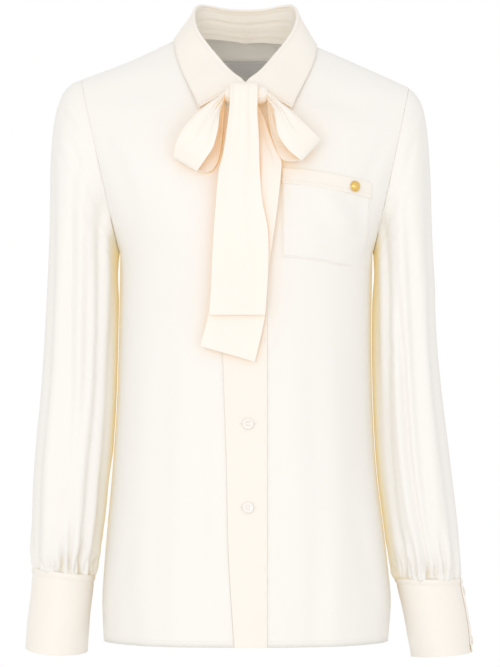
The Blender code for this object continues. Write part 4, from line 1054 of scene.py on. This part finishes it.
def makeButtons():
    # five down the placket at an even spacing, and two on each cuff's lap
    for i in range(5):
        x, z = np.array([button["x"]]), np.array([button["topZ"] - button["spacing"] * i])
        row = rowAt(x, z)
        out = outward(x, row)[0]
        number = str(i + 1)
        buttonAt("Front" + number, "front_button_" + number, skin(x, row, button["under"])[0], out)
        buttonhole(number, skin(x, row, placket["out"] + placket["wall"] / 2)[0], out)
    for side, sign in (("right", -1), ("left", 1)):
        for i, share in enumerate((1 / 6, 5 / 6)):
            part = np.array([cuff["buttonBack"] / (2 * math.pi + cuff["lap"])])
            angle = np.array([cuff["end"][side] - cuff["buttonBack"]])
            lift = cuffPush(part) + button["underCuff"]
            at = np.array([share])
            place = section(cuffRows[side], at, angle, lift, sign)[0]
            out = section(cuffRows[side], at, angle, lift + 0.01, sign)[0] - place
            down = section(cuffRows[side], at + 0.02, angle, lift, sign)[0] - place
            out = out - down * (out @ down) / (down @ down)
            name = "cuff_button_%s_%d" % (side, i + 1)
            buttonAt("Cuff%s%d" % (side.title(), i + 1), name, place, unit(out))


def makeStud():
    # a plain turned dome, a quarter of a circle in section, with a thin foot ring
    x, z = np.array([stud["x"]]), np.array([stud["z"]])
    row = rowAt(x, z)
    r, foot = stud["radius"], stud["foot"]
    turns = np.linspace(0, math.pi / 2, 9)
    dome = [(r * 0.86 * math.sin(a) + 0.00001, foot + (stud["height"] - foot) * math.cos(a)) for a in turns]
    profile = dome + [(r * 0.90, foot), (r * 0.98, foot), (r, foot / 2), (r * 0.98, 0.0), (0.00001, 0.0)]
    place = skin(x, row, stud["under"])[0]
    discObject("studGilt", profile, [], place, outward(x, row)[0], trims["gilt"], "pocket_stud")


makeButtons()
makeStud()
print("buttons and stud made")


# Collar, label and tie band

foldRows = table("s x y z", [
    (0.00, 0.0008, -0.0770, -0.0440), (0.12, 0.0095, -0.0735, -0.0365),
    (0.28, 0.0280, -0.0600, -0.0165), (0.42, 0.0470, -0.0380, 0.0075),
    (0.55, 0.0568, -0.0150, 0.0245), (0.66, 0.0590, 0.0100, 0.0395),
    (0.78, 0.0535, 0.0360, 0.0515), (0.88, 0.0395, 0.0520, 0.0520),
    (0.95, 0.0205, 0.0605, 0.0490), (1.00, 0.0000, 0.0640, 0.0480),
])
fallRows = table("s x row clear bulge", [
    (0.00, 0.0521, 0.695, 0.0060, 0.0060), (0.12, 0.0565, 0.722, 0.0056, 0.0058),
    (0.28, 0.0640, 0.762, 0.0046, 0.0052), (0.42, 0.0735, 0.822, 0.0038, 0.0034),
    (0.55, 0.0793, 0.893, 0.0038, 0.0012), (0.66, 0.0805, 1.000, 0.0038, 0.0004),
    (0.78, 0.0735, 1.050, 0.0038, 0.0004), (0.88, 0.0540, 1.090, 0.0038, 0.0020),
    (0.95, 0.0280, 1.108, 0.0038, 0.0030), (1.00, 0.0000, 1.115, 0.0038, 0.0030),
])
collar = {
    "inset": 0.0025, "lift": 0.0017, "foldRadius": 0.0027, "closer": 0.0014, "innerRoll": 0.0009,
    "wall": 0.0013, "around": 150, "bandLow": 0.42, "bandHigh": 0.70, "bandDrop": 0.34,
    "bandLeaves": 0.93, "bandEnd": 0.97, "bandOut": 0.0028, "bandToKnot": 0.0077,
}
label = {"halfX": 0.0292, "topZ": -0.0069, "lowZ": -0.0319, "in": -0.0024, "wall": 0.0006, "seamX": 0.0276}
bow = {
    "wall": 0.0012, "bulge": 0.0025,
    "knotCentre": (0.0007, -0.0991, -0.0572), "knotHalf": (0.0245, 0.0113, 0.0122),
}


def neckline(s, sign):
    # the neck edge from the front (0) to the middle of the back (1)
    t = torsoSize
    front = s <= t["shoulderAt"]
    w = np.where(front, s / t["shoulderAt"], (1 - s) / (1 - t["shoulderAt"]))
    share = np.sin(math.pi / 2 * w)
    frontRow = t["frontPit"] + (1 - t["frontPit"]) * share ** t["frontPower"]
    backRow = 2 - (t["backPit"] + (1 - t["backPit"]) * share ** t["backPower"])
    return torso(sign * t["neckHalf"] * share, np.where(front, frontRow, backRow))


def aroundNeck(s):
    # the stand's bottom and top lines, its slope, and the direction out of it, square to both
    part, sign = 1 - np.abs(s), np.where(s < 0, -1.0, 1.0)
    x, y, z = (along(part, foldRows, name, "s") for name in ("x", "y", "z"))
    top = np.stack([sign * x, y, z], axis=-1)
    level = unit(np.stack([top[..., 0], top[..., 1] + 0.008, np.zeros_like(s)], axis=-1))
    bottom = neckline(part, sign) - level * collar["inset"] + np.array([0, 0, collar["lift"]])
    slope = unit(top - bottom)
    out = unit(np.cross(slope, np.gradient(bottom + top, axis=0)))
    return bottom, top, slope, out


def makeStand():
    # straight lines from the neck edge up to the fold, and rows of stitching inside
    c = collar
    s = np.linspace(-1, 1, c["around"])
    bottom, top, slope, out = aroundNeck(s)
    v = np.linspace(-0.09, 1, 24)[:, None, None]
    # inside the stand, quilting rows and the handling of the cloth leave low level ridges
    ridge = 0.0004 * (np.sin(v * 38) * 0.5 + np.sin(v * 23 + 1.2) * 0.5) * np.sin(math.pi * v)
    stand = bottom + (top - bottom) * v + out * ridge
    made, slot = cloth["silkCrepeInterfaced"], "ivory_crepe_double"
    sheetPiece("collar_stand", stand[::-1], made, c["wall"], edge=0.0003)
    inside = np.abs(s) < 0.72
    rows = []
    for v in (0.08, 0.30, 0.62, 0.90):
        face = bottom + (top - bottom) * v - out * (c["wall"] / 2 + 2 * stitchLift)
        rows.append((face[inside], -out[inside]))
    stitches("stand_stitches", rows)


def makeLeaf():
    # a half circle over the fold, then straight lines with a bulge down to the fall's edge on the body
    c = collar
    s = np.linspace(-1, 1, c["around"])
    bottom, top, slope, out = aroundNeck(s)
    part, sign = 1 - np.abs(s), np.where(s < 0, -1.0, 1.0)
    x, row, clear, bulge = (along(part, fallRows, name, "s") for name in ("x", "row", "clear", "bulge"))
    x = sign * np.maximum(x, 0)
    edge = torso(x, row) + outward(x, row) * (clear - c["closer"])[:, None]
    # the roll starts on the stand's inner face, so no slit shows between the two
    turns = np.linspace(-math.pi / 2, math.pi / 2, 15)
    rows = []
    for turn in turns:
        over = c["innerRoll"] if turn < 0 else c["foldRadius"]
        rows.append(top + slope * c["foldRadius"] * math.cos(turn) + out * over * math.sin(turn))
    start = rows[-1]
    for w in np.linspace(0, 1, 34)[1:]:
        # the turned-in seam allowance pads the edge
        lip = 0.0004 * bell(w, 1, 0.03)
        wave = 0.0006 * np.sin(s * 15 + 1.0)[:, None] * out * math.sin(math.pi * w)
        swell = out * bulge[:, None] * math.sin(math.pi * w**0.6)
        rows.append(start + (edge - start) * w + swell + out * lip + wave)
    leaf = np.array(rows)
    made, slot = cloth["silkCrepeDoubled"], "ivory_crepe_double"
    sheetPiece("collar_leaf", leaf[::-1], made, c["wall"], edge=0.0004)
    normal = gridNormals(leaf)
    if normal[26, 75] @ out[75] < 0:
        normal = -normal
    face = leaf + normal * (c["wall"] / 2 + 0.0001)
    ends = [(face[15:, i], normal[15:, i]) for i in (2, -3)]
    stitches("leaf_stitches", [(face[-2], normal[-2]), *ends])


def makeBand():
    # the tie round the stand, which drops and comes forward to the knot at both ends
    c = collar
    middle = np.linspace(-c["bandLeaves"], c["bandLeaves"], 90)
    s = np.concatenate([[-c["bandEnd"]], middle, [c["bandEnd"]]])
    bottom, top, slope, out = aroundNeck(s)
    reach = c["bandOut"] + c["bandToKnot"] * softStep(np.abs(s), c["bandLeaves"], c["bandEnd"])
    drop = c["bandDrop"] * softStep(np.abs(s), 0.86, c["bandLeaves"])
    v = np.linspace(0, 1, 9)[:, None]
    height = (c["bandLow"] - drop) + (c["bandHigh"] - c["bandLow"]) * v
    pleat = 0.0003 * np.sin(v * 19)
    band = bottom + (top - bottom) * height[..., None] + out * (reach + pleat)[..., None]
    made, slot = cloth["silkCrepeTie"], "ivory_crepe_tie"
    sheetPiece("tie_band", band[::-1], made, bow["wall"], edge=0.0003)


def makeLabel():
    # a bare tape on the inside of the back, sewn along its two short ends
    x = np.linspace(-label["halfX"], label["halfX"], 40)
    z = np.linspace(label["topZ"], label["lowZ"], 16)[:, None]
    row = rowAt(x[None], z, 3.0)
    grid = torso(x[None], row) + outward(np.broadcast_to(x, row.shape), row) * label["in"]
    sheetPiece("neck_label", grid, trims["tape"], label["wall"])
    rows = []
    for at in (-label["seamX"], label["seamX"]):
        ends = np.full(12, at)
        row = rowAt(ends, np.linspace(label["topZ"] - 0.0011, label["lowZ"] + 0.0011, 12), 3.0)
        normal = -outward(ends, row)
        rows.append((torso(ends, row) - normal * label["in"] + normal * 2 * stitchLift, normal))
    stitches("label_stitches", rows)


makeStand()
makeLeaf()
makeBand()
makeLabel()
print("collar made")


# The bow

loopRows = {
    "right": table("topX topZ lowX lowZ topY lowY", [
        (-0.0229, -0.0530, -0.0229, -0.0590, -0.1026, -0.1026),
        (-0.0290, -0.0590, -0.0260, -0.0690, -0.1070, -0.1080),
        (-0.0397, -0.0662, -0.0290, -0.0790, -0.1130, -0.1150),
        (-0.0543, -0.0785, -0.0307, -0.0960, -0.1190, -0.1230),
        (-0.0700, -0.0965, -0.0360, -0.1165, -0.1220, -0.1280),
        (-0.0779, -0.1133, -0.0445, -0.1300, -0.1200, -0.1290),
        (-0.0801, -0.1262, -0.0532, -0.1425, -0.1165, -0.1250),
        (-0.0800, -0.1262, -0.0528, -0.1430, -0.1115, -0.1190),
        (-0.0760, -0.1120, -0.0400, -0.1440, -0.1085, -0.1160),
        (-0.0640, -0.0945, -0.0310, -0.1330, -0.1060, -0.1130),
        (-0.0480, -0.0780, -0.0265, -0.1100, -0.1030, -0.1080),
        (-0.0330, -0.0650, -0.0245, -0.0820, -0.1000, -0.1020),
        (-0.0229, -0.0540, -0.0229, -0.0600, -0.0974, -0.0974),
    ]),
    "left": table("topX topZ lowX lowZ topY lowY", [
        (0.0241, -0.0530, 0.0241, -0.0590, -0.1026, -0.1026),
        (0.0300, -0.0585, 0.0268, -0.0660, -0.1070, -0.1085),
        (0.0405, -0.0670, 0.0318, -0.0745, -0.1130, -0.1190),
        (0.0518, -0.0763, 0.0340, -0.0870, -0.1190, -0.1270),
        (0.0680, -0.0920, 0.0372, -0.1043, -0.1220, -0.1325),
        (0.0790, -0.1030, 0.0490, -0.1212, -0.1210, -0.1330),
        (0.0838, -0.1077, 0.0619, -0.1313, -0.1160, -0.1290),
        (0.0836, -0.1085, 0.0600, -0.1315, -0.1110, -0.1235),
        (0.0740, -0.1010, 0.0430, -0.1313, -0.1075, -0.1215),
        (0.0600, -0.0880, 0.0345, -0.1167, -0.1040, -0.1175),
        (0.0450, -0.0750, 0.0290, -0.1000, -0.1010, -0.1125),
        (0.0340, -0.0650, 0.0265, -0.0800, -0.0990, -0.1045),
        (0.0241, -0.0540, 0.0241, -0.0600, -0.0974, -0.0974),
    ]),
}
tailRows = {
    "front": table("leftX leftZ rightX rightZ y", [
        (-0.0120, -0.0480, 0.0100, -0.0480, -0.0890), (-0.0140, -0.0440, 0.0125, -0.0440, -0.0940),
        (-0.0155, -0.0432, 0.0135, -0.0432, -0.1010), (-0.0165, -0.0460, 0.0138, -0.0460, -0.1079),
        (-0.0170, -0.0530, 0.0138, -0.0530, -0.1118), (-0.0172, -0.0620, 0.0137, -0.0620, -0.1134),
        (-0.0185, -0.0780, 0.0135, -0.0780, -0.1165), (-0.0210, -0.0980, 0.0148, -0.0980, -0.1195),
        (-0.0251, -0.1250, 0.0157, -0.1250, -0.1245), (-0.0300, -0.1455, 0.0164, -0.1455, -0.1290),
        (-0.0328, -0.1770, 0.0190, -0.1770, -0.1350), (-0.0352, -0.2080, 0.0250, -0.2080, -0.1375),
        (-0.0370, -0.2400, 0.0260, -0.2400, -0.1388), (-0.0385, -0.2750, 0.0244, -0.2750, -0.1372),
        (-0.0408, -0.3053, 0.0222, -0.3053, -0.1352),
    ]),
    "back": table("leftX leftZ rightX rightZ y", [
        (-0.0060, -0.0653, 0.0120, -0.0653, -0.0968), (-0.0095, -0.0800, 0.0200, -0.0800, -0.1000),
        (-0.0130, -0.0980, 0.0262, -0.0980, -0.1060), (-0.0165, -0.1150, 0.0330, -0.1150, -0.1120),
        (-0.0200, -0.1350, 0.0405, -0.1330, -0.1182), (-0.0250, -0.1660, 0.0380, -0.1660, -0.1262),
        (-0.0290, -0.1950, 0.0345, -0.1950, -0.1305), (-0.0325, -0.2250, 0.0302, -0.2250, -0.1332),
        (-0.0360, -0.2600, 0.0258, -0.2600, -0.1336), (-0.0419, -0.3064, 0.0220, -0.3064, -0.1308),
        (-0.0508, -0.3400, 0.0108, -0.3579, -0.1292),
    ]),
}
# Creases of each loop: start and end as shares along and across, bow, width and height
loopFolds = [(0.07, 0.30, 0.36, 0.42, 0.03, 0.05, -0.0022), (0.06, 0.72, 0.30, 0.80, -0.02, 0.05, -0.0014)]
# Gathers of each tail: start and end across (0 left, 1 right), start and end down, width and height
tailFolds = {
    "front": [
        (0.20, 0.00, 0.12, 0.55, 0.02, 0.08, -0.0011), (0.44, 0.00, 0.38, 0.80, -0.02, 0.10, 0.0009),
        (0.72, 0.00, 0.78, 0.60, 0.02, 0.08, -0.0010), (0.92, 0.02, 0.94, 0.50, 0.00, 0.06, 0.0009),
        (0.06, 0.10, 0.04, 0.70, 0.00, 0.05, 0.0008), (0.55, 0.10, 0.60, 0.95, 0.02, 0.12, 0.0009),
    ],
    "back": [
        (0.30, 0.00, 0.24, 0.60, 0.02, 0.06, -0.0012), (0.60, 0.00, 0.66, 0.70, -0.02, 0.06, 0.0012),
        (0.84, 0.05, 0.90, 0.55, 0.00, 0.05, -0.0012), (0.50, 0.30, 0.52, 0.98, 0.02, 0.09, 0.0008),
    ],
}


def edgeLine(share, rows, names):
    # three columns of a table as points along a piece
    return np.stack([along(share, rows, name) for name in names.split()], axis=-1)


def loopGrid(side):
    # a strip that runs out in front and back behind, with pleats that fan out of the knot
    rows = loopRows[side]
    share = np.linspace(0, 1, 110)[:, None]
    q = np.linspace(0, 1, 34)[None]
    top, low = edgeLine(share, rows, "topX topY topZ"), edgeLine(share, rows, "lowX lowY lowZ")
    grid = top + (low - top) * q[..., None]
    grid[..., 1] -= bow["bulge"] * np.sin(2 * math.pi * share) * np.sin(math.pi * q)
    fromKnot = np.minimum(share, 1 - share)
    grow = softStep(fromKnot, 0.0, 0.10) * (1 - softStep(fromKnot, 0.14, 0.44))
    front = np.where(share < 0.5, 1.0, 0.45)
    pleats = 0.0011 * np.cos(q * 21 + 0.6) + 0.0009 * np.sin(q * 13 + share * 9)
    grid[..., 1] += front * grow * pleats
    grid[..., 1] -= creaseHeight(share, q, loopFolds)
    return grid


def tailGrid(name):
    # straight across between its two edges, with long gathers that start under the knot
    rows = tailRows[name]
    share = np.linspace(0, 1, 130)[:, None]
    q = np.linspace(0, 1, 40)[None]
    left, right = edgeLine(share, rows, "leftX y leftZ"), edgeLine(share, rows, "rightX y rightZ")
    grid = left + (right - left) * q[..., None]
    start = 0.14 if name == "front" else 0.0
    grid[..., 1] -= softStep(share, start, start + 0.10) * creaseHeight(q, share, tailFolds[name])
    if name == "front":
        over = (1 - softStep(share, 0.20, 0.42)) * softStep(share, 0.02, 0.10)
        grid[..., 1] -= over * 0.00010 * np.cos(q * 17)
    grid[..., 1] -= softStep(share, 0.5, 1.0) * 0.0012 * np.sin(q * 5.5 + 0.5)
    return grid


def makeBow():
    # two loops held folded by the knot and two tails hanging from it, all of the same strip
    made, slot, wall = cloth["silkCrepeTie"], "ivory_crepe_tie", bow["wall"]
    for side in ("right", "left"):
        grid = loopGrid(side) if side == "right" else loopGrid(side)[::-1]
        sheetPiece("bow_loop_" + side, grid, made, wall, edge=0.0003)
    for name in ("front", "back"):
        sheetPiece("tie_tail_" + name, tailGrid(name), made, wall, edge=0.0003)


def makeKnot():
    # an egg-shaped wrap with pleats that run from end to end and pinch together at both ends
    rows, columns = 60, 84
    turn = np.linspace(0.02, math.pi - 0.02, rows)[:, None]
    angle = np.linspace(0, 2 * math.pi, columns, endpoint=False)[None]
    pleat = 1 - 0.055 * (1 - np.abs(np.cos(angle * 5.5 + 0.5 * np.cos(turn * 2)))) ** 1.5
    squeeze = 1 - 0.10 * bell(turn, math.pi / 2, 0.5)
    half, centre = bow["knotHalf"], bow["knotCentre"]
    ring = np.sin(turn) ** 0.50 * pleat * squeeze
    x = centre[0] + half[0] * np.cos(turn) * np.ones_like(angle)
    y = centre[1] + half[1] * ring * np.cos(angle)
    z = centre[2] + half[2] * ring * np.sin(angle)
    points = np.stack([x, y, z], axis=-1).reshape(-1, 3)
    made = meshObject("tie_knot", points, gridFaces(rows, columns, True), cloth["silkCrepeTie"])
    dress(made, "tie_knot")


makeBow()
makeKnot()
print("bow made")


# Floor, light and camera

stage = {
    "floorZ": -1.42, "floorRadius": 1.5, "domeRadius": 24.0, "worldStrength": 0.90, "aim": (0.0, 0.0, -0.3),
}
# Area lamps: place, size and power
lamps = {
    "keyLight": ((-1.5, -5.3, 0.45), 2.6, 49.0),
    "fillLight": ((2.3, -5.2, -0.3), 2.6, 18.0),
}
neckLamp = {"place": (0.0, -0.015, -0.11), "size": 0.03, "power": 0.08}
camera = {"x": 0.0052, "z": -0.326, "away": 5.0, "sensor": 36.0, "across": 0.575}


def addObject(name, data, place):
    # links new object data into the scene at a place
    holder = bpy.data.objects.new(name, data)
    bpy.context.scene.collection.objects.link(holder)
    holder.location = place
    return holder


def makeStage():
    # the floor is a disc that ends below the picture's lower edge
    turn = np.linspace(0, 2 * math.pi, 64, endpoint=False)
    rim = np.stack([np.cos(turn), np.sin(turn), np.zeros(64)], axis=-1) * stage["floorRadius"]
    rim[:, 2] = stage["floorZ"]
    paper = principled("paperFloorMatt", {"Base Color": toLinear("F4F3F0"), "Roughness": 0.9})[0]
    floor = meshObject("floor", rim, np.arange(64)[None], paper)
    # the white studio wall all round: it shows white and leaves the lighting to the lamps and the world
    angle = np.linspace(0, 2 * math.pi, 48, endpoint=False)[None]
    height = np.linspace(-math.pi / 2 + 0.01, math.pi / 2 - 0.01, 24)[:, None]
    r = stage["domeRadius"]
    x, y = r * np.cos(height) * np.cos(angle), r * np.cos(height) * np.sin(angle)
    ball = np.stack([x, y, r * np.sin(height) * np.ones_like(angle)], axis=-1)
    wall = bpy.data.materials.new("studioWallWhite")
    wall.use_nodes = True
    wall.node_tree.nodes.clear()
    glow = addNode(wall.node_tree, "ShaderNodeEmission", {"Color": (1, 1, 1, 1), "Strength": 1.0})
    addNode(wall.node_tree, "ShaderNodeOutputMaterial", {}, Surface=glow.outputs["Emission"])
    dome = meshObject("studioWall", ball.reshape(-1, 3), gridFaces(24, 48, True), wall)
    dome.visible_diffuse = dome.visible_glossy = dome.visible_shadow = dome.visible_transmission = False


def makeLights():
    # an even white world, and two soft area lamps aimed at the middle of the body
    world = bpy.data.worlds.new("studio")
    bpy.context.scene.world = world
    world.use_nodes = True
    background = world.node_tree.nodes["Background"]
    background.inputs["Color"].default_value = (1.0, 0.995, 0.985, 1)
    background.inputs["Strength"].default_value = stage["worldStrength"]
    for name, (place, size, power) in lamps.items():
        lamp = bpy.data.lights.new(name, "AREA")
        lamp.energy, lamp.size, lamp.color = power, size, (1.0, 0.985, 0.955)
        towards = Vector(stage["aim"]) - Vector(place)
        addObject(name, lamp, place).rotation_euler = towards.to_track_quat("-Z", "Y").to_euler()
    # a small lamp inside the body, as studios use to show the inside of the neck
    lamp = bpy.data.lights.new("neckLight", "POINT")
    lamp.energy, lamp.shadow_soft_size, lamp.color = neckLamp["power"], neckLamp["size"], (1.0, 0.93, 0.82)
    addObject("neckLight", lamp, neckLamp["place"])


def makeCamera():
    # level, five metres off, with the picture's 500 pixels across 575 mm at the middle of the body
    lens = bpy.data.cameras.new("camera")
    lens.sensor_width, lens.sensor_fit = camera["sensor"], "HORIZONTAL"
    lens.lens = camera["sensor"] * camera["away"] / camera["across"]
    holder = addObject("camera", lens, (camera["x"], -camera["away"], camera["z"]))
    holder.rotation_euler = (math.pi / 2, 0, 0)
    bpy.context.scene.camera = holder


makeStage()
makeLights()
makeCamera()
bpy.context.scene.view_settings.view_transform = "Standard"
print("stage made")
print("cuts", json.dumps(cuts))
